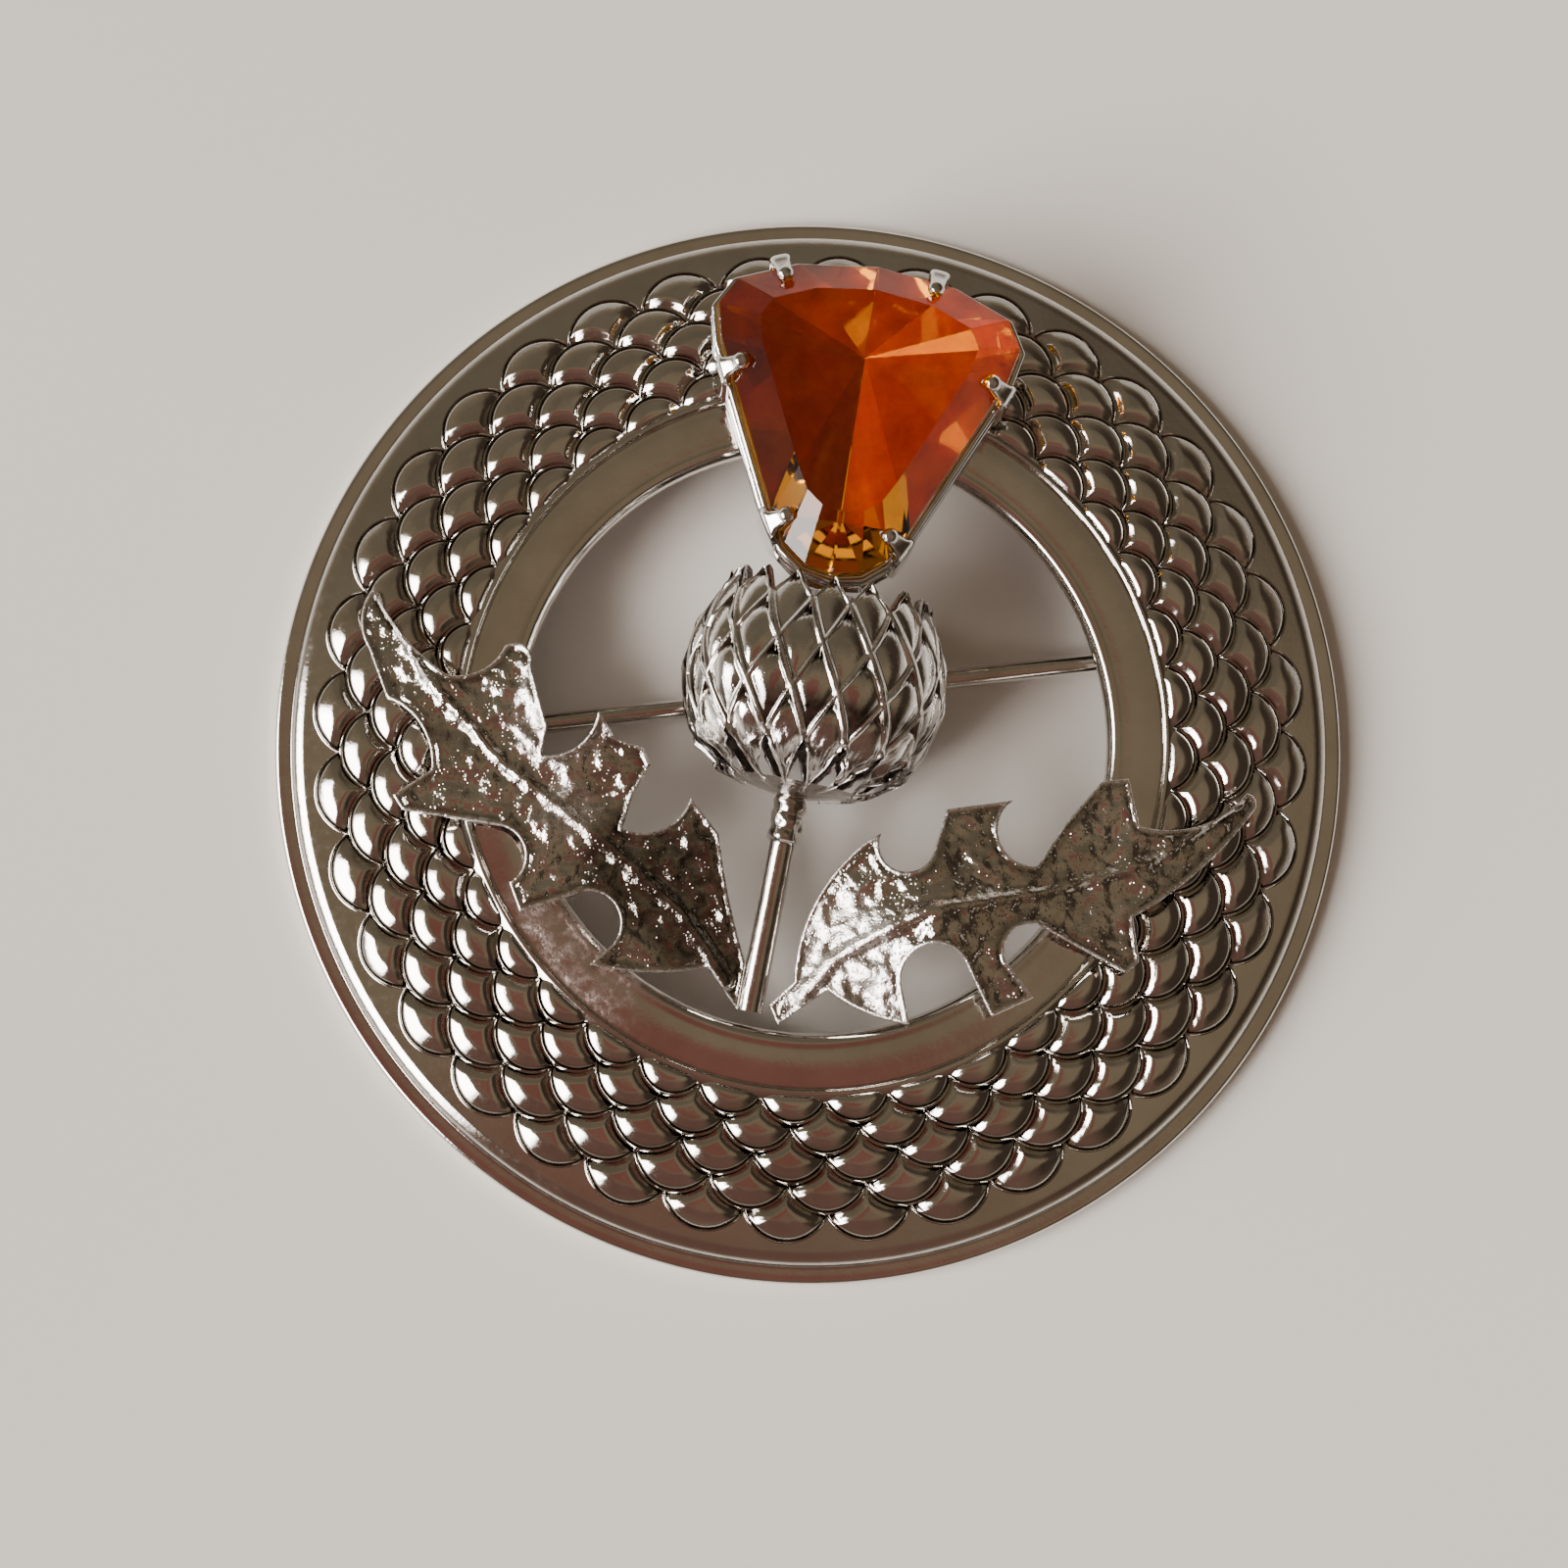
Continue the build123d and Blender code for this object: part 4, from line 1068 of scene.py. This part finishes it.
# %% Leaf mesh
def shape_leaf(name, node_name, lie, rib, seed, curls, rubbed, shaded_spots):
    """A leaf with its rim, midrib, hammering and curled lobes, over the outline of a CAD node."""
    loop = outlines[node_name]
    arch = np.polynomial.Polynomial.fit(leaf_shares(loop, *lie)[0], loop[:, 2], 4)
    points, triangles = triangulated(spread_points(loop, seed), len(loop))
    edge_gap, _ = distance_to_line(points, loop, True)
    rib_gap, rib_place = distance_to_line(points, from_leaf_shares(rib, *lie), False)
    rib_share = rib_place / rib_place.max()
    along, across = leaf_shares(points, *lie)
    rim = rim_rise * np.clip(1 - np.abs(edge_gap - rim_middle) / rim_half, 0, 1) ** 0.7
    half = rib_half * (1 - rib_narrowing * rib_share)
    rib_rise = rib_height * (1 - rib_lowering * rib_share) * np.clip(1 - (rib_gap / half) ** 2, 0, 1)
    dish = dish_depth * smoothstep(0.2, 0.7, edge_gap)
    open_sheet = smoothstep(0.12, 0.45, edge_gap) * (1 - 0.7 * np.clip(rib_rise / 0.3, 0, 1))
    under = arch(along)
    for *spot, rise in curls:
        under += rise * np.clip(nearness(along, across, *spot), 0, 1) ** 1.5
    top = under + leaf_thickness - top_sink + rim + rib_rise - dish + open_sheet * hammered(points, seed)
    by_rim = smoothstep(0.16, 0.24, edge_gap) * (1 - smoothstep(0.28, 0.6, edge_gap))
    by_rib = np.clip(1 - np.abs(rib_gap / half - 1.15) / 0.3, 0, 1)
    # Painted shade inside the rim and beside the midrib.
    hollow = np.clip(rim_shade * by_rim + rib_shade * by_rib, 0, 1)
    raw = rim_polish * (1 - smoothstep(0.09, 0.17, edge_gap))
    # Rubbed spots raise the raw skin; the dark spots near the root add painted shade.
    for spots, mask, amount in ((rubbed, raw, rubbed_amount), (shaded_spots, hollow, spot_shade)):
        for spot in spots:
            mask[:] = np.maximum(mask, amount * smoothstep(0, 0.4, nearness(along, across, *spot)))
    sheet_points, faces = two_sided(points, triangles, top, under)
    clean = [0.0] * len(points)
    leaf = make_piece(name, sheet_points, faces, "hammered metal", list(hollow) + clean, list(raw) + clean,
                      sharp=50)
    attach(leaf, "brooch")
    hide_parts(node_name)


# %% Both leaves
# A lie is a leaf's turn in degrees, its root's place on the spray, and its length. A rib is a row of shares
# of that length, each with the midrib's shift to the side. A curl is a place on the leaf, a reach and a
# rise, and a spot is a place and a reach.
left_lie, right_lie = (53.0, -0.7, -12.9, 25.8), (-54.8, 0.6, -12.85, 24.3)
left_rib = ((0.06, -0.01), (0.20, -0.03), (0.38, -0.01), (0.60, 0.03), (0.80, 0.03), (0.97, 0.00))
right_rib = ((0.06, 0.01), (0.15, 0.05), (0.32, 0.06), (0.55, 0.00), (0.75, -0.03), (0.97, 0.00))
left_curls = ((0.24, 0.15, 0.12, 0.15), (0.41, -0.17, 0.10, 0.12), (0.69, 0.21, 0.12, 0.12),
              (0.60, -0.18, 0.20, 1.2), (0.80, 0.02, 0.16, 0.4))
right_curls = ((0.22, -0.12, 0.10, 0.10), (0.57, 0.18, 0.12, 0.12), (0.30, 0.22, 0.12, 0.12),
               (0.33, 0.02, 0.30, 1.7))
left_rubbed = ((0.60, -0.09, 0.11), (0.47, 0.0, 0.07))
# Dark spots near the left leaf's root: painted shade.
left_shaded_spots = ((0.17, -0.10, 0.20), (0.30, -0.03, 0.14))
right_rubbed, right_shaded_spots = ((0.14, 0.05, 0.16), (0.15, -0.07, 0.12)), ()
shape_leaf("leaf_left_sheet", "leaf_left", left_lie, left_rib, 3, left_curls, left_rubbed, left_shaded_spots)
shape_leaf("leaf_right_sheet", "leaf_right", right_lie, right_rib, 8, right_curls, right_rubbed,
           right_shaded_spots)

# %% [markdown]
# ## The claw setting
# The setting is an open gallery under the stone with six claws on it. Each claw is a round-edged strip
# swept along a bent line: up the side of the stone, over its edge and down the slope of its crown,
# narrowing to a small bead.

# %% Setting sizes
stone_width, stone_length = 13.8, 14.25
stone_side, stone_tip_up, stone_turn = -1.0, 6.9, radians(2.5)
girdle_top = 7.9
crown_rise, table_share, table_centre_share = 1.4, 0.72, 0.64
gallery_low, gallery_high, rail_height = 4.27, 4.87, 6.65
gallery_offset, gallery_halves = -0.25, (0.65, 0.30)
rail_offset, rail_halves = 0.17, (0.16, 0.20)
bar_squareness = 0.6
half_outline = ((0.0, 0.0), (0.19, 0.018), (0.34, 0.075), (0.45, 0.17), (0.95, 0.70),
                (1.0, 0.81), (0.90, 0.895), (0.52, 0.97), (0.0, 1.0))
setting_points, setting_faces, setting_hollows = [], [], []


def stone_loop():
    """Corners of the stone's girdle in its own frame, from the tip round the right side."""
    right = [(across * stone_width / 2, along * stone_length) for across, along in half_outline]
    return right + [(-x, y) for x, y in right[-2:0:-1]]


def place_on_spray(points):
    """Points drawn about the stone's tip, turned and moved to where the stone stands on the spray."""
    points = np.asarray(points, float) - (0, stone_length / 2, 0)
    return to_brooch(points @ clockwise(-stone_turn) + (stone_side, stone_tip_up + stone_length / 2, 0))


def bar_section(half_width, half_height, sides):
    """Section of a bar with rounded edges, as distances across it and through it."""
    section = []
    for side in range(sides):
        c, s = cos(2 * pi * side / sides), sin(2 * pi * side / sides)
        section.append((half_width * np.sign(c) * abs(c) ** bar_squareness,
                        half_height * np.sign(s) * abs(s) ** bar_squareness))
    return section


print("girdle", len(stone_loop()), "corners")

# %% [markdown]
# The gallery and a thinner wire above it follow the stone's own outline, moved outward and with rounded
# corners.

# %% Gallery
def offset_loop(loop, offset, round_steps=5):
    """A closed outline moved outward by an offset, each corner turned in a few steps."""
    result = []
    for number, corner in enumerate(loop):
        before, after = np.array(loop[number - 1]), np.array(loop[(number + 1) % len(loop)])
        corner = np.array(corner)
        normals = []
        for start, end in ((before, corner), (corner, after)):
            way = (end - start) / np.linalg.norm(end - start)
            normals.append(np.array([way[1], -way[0]]))
        middle = (normals[0] + normals[1]) / np.linalg.norm(normals[0] + normals[1])
        for share in np.linspace(0, 1, round_steps):
            normal = normals[0] * (1 - share) + normals[1] * share
            result.append(corner + normal / np.linalg.norm(normal) * offset / max(0.5, normal @ middle))
    return result


def closed_rail(offset, height, half_width, half_height, sides=12):
    """Add a rail round the stone at a height, its section a rounded bar."""
    line = offset_loop(stone_loop(), offset)
    first = len(setting_points)
    count = len(line)
    for number, point in enumerate(line):
        way = line[(number + 1) % count] - line[number - 1]
        outward = np.array([way[1], -way[0]]) / np.linalg.norm(way)
        for reach, rise in bar_section(half_width, half_height, sides):
            x, y = point + outward * reach
            setting_points.append((x, y, height + rise))
            # A little painted shade on both rails under the stone.
            setting_hollows.append(0.2)
    for number in range(count):
        here, after = first + number * sides, first + (number + 1) % count * sides
        for side in range(sides):
            turn = (side + 1) % sides
            setting_faces.append((here + side, here + turn, after + turn, after + side))


closed_rail(gallery_offset, (gallery_low + gallery_high) / 2, *gallery_halves, 16)
closed_rail(rail_offset, rail_height, *rail_halves)
print("rails", len(setting_faces), "faces")

# %% [markdown]
# A claw's line is worked out from the slope of the crown where it stands, so that it always lies just clear
# of the glass. Its end is a bead, as the pusher leaves it.

# %% Claw sizes
# Each claw: its side, its edge of the outline, the share of the way along it, and half its foot's width.
claw_spots = ((1, 2, 0.45, 0.75), (1, 3, 0.92, 0.66), (1, 7, 0.23, 0.50),
              (-1, 2, 0.65, 0.90), (-1, 3, 0.82, 0.75), (-1, 6, 0.72, 0.50))
claw_gap, claw_thickness, claw_reach = 0.08, 0.55, 0.80
claw_heights, bend_degrees = (gallery_low + 0.1, gallery_high, 5.7, 6.6), (0, 18, 36, 54, 72)
claw_sides, claw_tip_half, claw_thinning = 16, 0.34, 0.22
bead, bead_rise, bead_rows, bead_columns = np.array([0.391, 0.391, 0.255]), 0.03, 7, 14


def claw_line(to_edge):
    """Places along a claw, as distance out from the girdle and height. The table's middle is to_edge away."""
    slope = crown_rise / (to_edge * (1 - table_share))
    low = girdle_top + claw_gap * (hypot(1, slope) - slope)
    middle_out = claw_gap + claw_thickness / 2
    line = [(middle_out, height) for height in claw_heights + (low - 0.25,)]
    for angle in np.radians(bend_degrees):
        turn_out = middle_out - claw_thickness / 2 * (1 - cos(angle))
        line.append((turn_out, low - 0.1 + claw_thickness * 0.55 * sin(angle)))
    for reach in (0.15, 0.35, 0.55, 0.72, claw_reach):
        line.append((claw_gap - reach, low + slope * reach + claw_thickness * 0.42))
    return line


def claw_halves(count, half_base):
    """Half the width and half the thickness of a claw at each place along it."""
    halves = []
    for share in np.linspace(0, 1, count):
        half_width = claw_tip_half + (half_base - claw_tip_half) * (1 - smoothstep(0.25, 0.85, share))
        halves.append([half_width, claw_thickness / 2 * (1 - claw_thinning * smoothstep(0.4, 0.9, share))])
    for number, shrink in ((-1, 0.35), (-2, 0.80)):
        halves[number] = [halves[number][0] * shrink, halves[number][1] * (shrink + 0.1)]
    return halves


print("claws", len(claw_spots), "each", len(claw_line(stone_width / 2)), "places long")


# %% Claws
def sweep(path, across, halves):
    """Add a bar with rounded edges along a path. Across is the direction of its width."""
    first = len(setting_points)
    path, across = np.array(path, float), np.array(across, float)
    for number, (half_width, half_height) in enumerate(halves):
        forward = path[min(len(path) - 1, number + 1)] - path[max(0, number - 1)]
        through = np.cross(forward, across)
        through /= np.linalg.norm(through)
        for wide, high in bar_section(half_width, half_height, claw_sides):
            setting_points.append(tuple(path[number] + across * wide + through * high))
            setting_hollows.append(0.0)
    for face in grid_faces(len(path), claw_sides, closed=True):
        setting_faces.append(tuple(first + corner for corner in face))
    setting_faces.append(tuple(first + side for side in reversed(range(claw_sides))))
    setting_faces.append(tuple(first + (len(path) - 1) * claw_sides + side for side in range(claw_sides)))


def add_bead(middle):
    """Add the bead at a claw's end."""
    first = len(setting_points)
    for tilt in np.linspace(0, pi, bead_rows):
        for turn in np.arange(bead_columns) * 2 * pi / bead_columns:
            way = np.array([sin(tilt) * cos(turn), sin(tilt) * sin(turn), cos(tilt)])
            setting_points.append(tuple(middle + bead * way))
            setting_hollows.append(0.0)
    for face in grid_faces(bead_rows, bead_columns, closed=True):
        setting_faces.append(tuple(first + corner for corner in face))


def add_claw(side, edge, share, half_base):
    """Add a claw at a share of the way along an edge of the outline. Side 1 is the right, -1 the left."""
    loop = stone_loop()
    start, end = np.array(loop[edge]), np.array(loop[edge + 1])
    along = (end - start) / np.linalg.norm(end - start)
    foot = start + (end - start) * share
    outward = np.array([along[1], -along[0]])
    line = claw_line(float((start - (0, table_centre_share * stone_length)) @ outward))
    path = [(side * (foot[0] + outward[0] * out), foot[1] + outward[1] * out, height) for out, height in line]
    sweep(path, (side * along[0], along[1], 0), claw_halves(len(path), half_base))
    add_bead(np.array(path[-3]) + (0, 0, bead_rise))


for spot in claw_spots:
    add_claw(*spot)
setting = make_piece("claw_setting_cast", place_on_spray(setting_points), setting_faces, "setting metal",
                     setting_hollows, sharp=50)
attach(setting, "brooch")
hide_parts("claw_setting")

# %% [markdown]
# ## The stone
# The CAD model's own stone is kept: its flat facets are what makes it a cut stone. It is amber glass, so
# light enters at the table, is thrown about by the facets below and comes back. Such stones are lacquered
# with foil behind, drawn here as a thin bright skin a hair's breadth off the lower facets. Lacquered foil
# scatters light as well as mirroring it, so it is less metallic than the other metals.

# %% Stone glass
amber_tints = (0.90, 0.27, 0.003), (0.98, 0.41, 0.005)


def amber_glass():
    """Orange glass with a polished skin, its gloss varied by fine noise and its surface by faint waves."""
    material = bpy.data.materials.new("amber glass")
    material.use_nodes = True
    tree = material.node_tree
    shader = tree.nodes["Principled BSDF"]
    shader.inputs["Transmission Weight"].default_value = 1.0
    shader.inputs["IOR"].default_value = 1.54
    place = add(tree, "ShaderNodeTexCoord")
    clouds = add(tree, "ShaderNodeTexNoise", {"Scale": 420.0, "Detail": 2.0})
    tint = add(tree, "ShaderNodeValToRGB")
    for stop, position, color in zip(tint.color_ramp.elements, (0.35, 0.70), amber_tints):
        stop.position = position
        stop.color = color + (1,)
    join(tree, place, "Object", clouds, "Vector")
    join(tree, clouds, "Fac", tint, "Fac")
    join(tree, tint, "Color", shader, "Base Color")
    wear = add(tree, "ShaderNodeTexNoise", {"Scale": 2600.0, "Detail": 3.0, "Roughness": 0.7})
    rough = add(tree, "ShaderNodeMapRange", {"From Min": 0.45, "From Max": 0.8, "To Min": 0.02,
                                             "To Max": 0.09})
    join(tree, place, "Object", wear, "Vector")
    join(tree, wear, "Fac", rough, "Value")
    join(tree, rough, "Result", shader, "Roughness")
    waves = add(tree, "ShaderNodeTexNoise", {"Scale": 260.0, "Detail": 1.0})
    bump = add(tree, "ShaderNodeBump", {"Strength": 0.25, "Distance": 0.06 * MM})
    join(tree, place, "Object", waves, "Vector")
    join(tree, waves, "Fac", bump, "Height")
    join(tree, bump, "Normal", shader, "Normal")
    return material


stone = nodes["stone"]
stone.data.materials.clear()
stone.data.materials.append(amber_glass())
print("stone", len(stone.data.polygons), "faces")

# %% Foil behind the stone
foil_gap = 0.03
foil_metallic = 0.4
foil_points, foil_faces = [], []
for face in stone.data.polygons:
    normal = stone.matrix_world.to_3x3() @ face.normal
    if normal.z < -0.1:
        first = len(foil_points)
        for corner in face.vertices:
            foil_points.append((stone.matrix_world @ stone.data.vertices[corner].co) / MM + normal * foil_gap)
        foil_faces.append(tuple(range(first, len(foil_points))))
finishes["foil metal"].node_tree.nodes["Principled BSDF"].inputs["Metallic"].default_value = foil_metallic
foil = make_piece("stone_foil", foil_points, foil_faces, "foil metal", sharp=5)
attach(foil, "brooch")

# %% [markdown]
# ## Behind the ring
# The hinge, the pin and the catch keep their CAD meshes. The pin gets the wire's finish, and the hinge and
# the catch a duller one, because fingers never rub them.

# %% Pin, hinge and catch
for name, finish in (("pin", "wire metal"), ("pin_hinge", "back metal"), ("catch", "back metal")):
    nodes[name].data.materials.clear()
    nodes[name].data.materials.append(finishes[finish])
    print(name, "in", finish)

# %% [markdown]
# ## Floor
# A plain pale floor, matt, with faint clouds of light and dark so that it doesn't look like paint.

# %% Floor
floor_reach = 0.6
floor_tints = (0.85, 0.80, 0.75), (0.91, 0.87, 0.82)
floor_mesh = bpy.data.meshes.new("floor")
floor_mesh.from_pydata([(-floor_reach, -floor_reach, 0), (floor_reach, -floor_reach, 0),
                        (floor_reach, floor_reach, 0), (-floor_reach, floor_reach, 0)], [], [(0, 1, 2, 3)])
floor = bpy.data.objects.new("floor", floor_mesh)
scene.collection.objects.link(floor)
pale = bpy.data.materials.new("pale floor")
pale.use_nodes = True
tree = pale.node_tree
shader = tree.nodes["Principled BSDF"]
shader.inputs["Roughness"].default_value = 0.7
place = add(tree, "ShaderNodeTexCoord")
clouds = add(tree, "ShaderNodeTexNoise", {"Scale": 9.0, "Detail": 3.0})
tint = add(tree, "ShaderNodeValToRGB")
for stop, position, color in zip(tint.color_ramp.elements, (0.3, 0.7), floor_tints):
    stop.position = position
    stop.color = color + (1,)
join(tree, place, "Object", clouds, "Vector")
join(tree, clouds, "Fac", tint, "Fac")
join(tree, tint, "Color", shader, "Base Color")
floor_mesh.materials.append(pale)
print("floor", 2 * floor_reach, "m wide")

# %% [markdown]
# ## Light
# Polished metal shows what is round it more than its own colour, so the light is a painted sky. It is dim
# and olive overhead, like a ceiling, bright in a wide window low on the left, reddish on the viewer's side
# and dark on the right. Each zone has a direction round the horizon, a width, and two tilts from straight
# up between which it lies. A round, dim red spot on the viewer's side gives the flats low on the ring their
# warm brown.

# %% Sky tools
world = bpy.data.worlds.new("studio")
world.use_nodes = True
scene.world = world
tree = world.node_tree
background = tree.nodes["Background"]
place = add(tree, "ShaderNodeTexCoord")
height = add(tree, "ShaderNodeSeparateXYZ")
level = add(tree, "ShaderNodeVectorMath", {1: (1, 1, 0)}, operation="MULTIPLY")
compass = add(tree, "ShaderNodeVectorMath", operation="NORMALIZE")
join(tree, place, "Generated", height, 0)
join(tree, place, "Generated", level, 0)
join(tree, level, 0, compass, 0)


def ramp(source, output, low, high):
    """Mask that rises smoothly from 0 to 1 between two values, either way round."""
    rise = add(tree, "ShaderNodeMapRange", {"From Min": low, "From Max": high},
               interpolation_type="SMOOTHSTEP")
    join(tree, source, output, rise, "Value")
    return rise


def times(first, second):
    """Product of two masks."""
    product = add(tree, "ShaderNodeMath", operation="MULTIPLY")
    join(tree, first, 0, product, 0)
    join(tree, second, 0, product, 1)
    return product


def lay_over(before, color, mask):
    """Mix a colour over the sky so far, by a mask."""
    mixed = add(tree, "ShaderNodeMix", data_type="RGBA")
    if isinstance(before, tuple):
        mixed.inputs[MIX_A].default_value = before + (1,)
    else:
        join(tree, before, MIX_RESULT, mixed, MIX_A)
    mixed.inputs[MIX_B].default_value = color + (1,)
    join(tree, mask, 0, mixed, MIX_FACTOR)
    return mixed


def paint_zone(before, color, direction=None, half_width=180, soft_width=20, near=0, far=90, soft_tilt=5):
    """Lay a colour over the sky in one zone. Widths and tilts are in degrees."""
    mask = ramp(height, "Z", cos(radians(far + soft_tilt)), cos(radians(far - soft_tilt)))
    if near > 0:
        mask = times(mask, ramp(height, "Z", cos(radians(near - soft_tilt)), cos(radians(near + soft_tilt))))
    if direction is not None:
        turned = add(tree, "ShaderNodeVectorMath", {1: Vector((direction.x, direction.y, 0)).normalized()},
                     operation="DOT_PRODUCT")
        join(tree, compass, 0, turned, 0)
        edge, core = cos(radians(half_width + soft_width / 2)), cos(radians(half_width - soft_width / 2))
        mask = times(mask, ramp(turned, "Value", edge, core))
    return lay_over(before, color, mask)


def paint_spot(before, color, way, tilt, radius, soft):
    """Lay a colour over the sky in a round spot, tilted from straight up. Angles are in degrees."""
    middle = way.normalized() * sin(radians(tilt)) + Vector((0, 0, cos(radians(tilt))))
    turned = add(tree, "ShaderNodeVectorMath", {1: middle}, operation="DOT_PRODUCT")
    join(tree, place, "Generated", turned, 0)
    mask = ramp(turned, "Value", cos(radians(radius + soft)), cos(radians(radius - soft)))
    return lay_over(before, color, mask)


# %% Sky
wall_light, ceiling, far_wall = (0.60, 0.56, 0.51), (0.20, 0.155, 0.100), (0.14, 0.115, 0.080)
dark_side, red_side, red_spot = (0.050, 0.036, 0.026), (0.15, 0.080, 0.062), (0.195, 0.084, 0.064)
window = (17.0, 16.4, 15.6)
picture_left, picture_down = -picture_right, -picture_up


def way_between(first, second, angle):
    """Direction turned from a first one towards a second by an angle in degrees."""
    return first * cos(radians(angle)) + second * sin(radians(angle))


window_way = way_between(picture_left, picture_down, 15)
red_way = way_between(picture_down, picture_left, 14)
spot_way = way_between(picture_down, picture_left, 32)
sky = paint_zone(wall_light, ceiling, far=78, soft_tilt=8)
sky = paint_zone(sky, far_wall, picture_up, half_width=60, soft_width=50, near=16, far=66, soft_tilt=12)
sky = paint_zone(sky, dark_side, picture_right, half_width=66, soft_width=50, near=40, far=71, soft_tilt=9)
sky = paint_zone(sky, red_side, red_way, half_width=36, soft_width=52, near=20, far=76, soft_tilt=18)
sky = paint_spot(sky, red_spot, spot_way, tilt=11, radius=14.5, soft=4)
sky = paint_zone(sky, window, window_way, half_width=26, soft_width=12, near=42, far=71, soft_tilt=4)
join(tree, sky, MIX_RESULT, background, "Color")
print("sky", len(tree.nodes), "nodes")
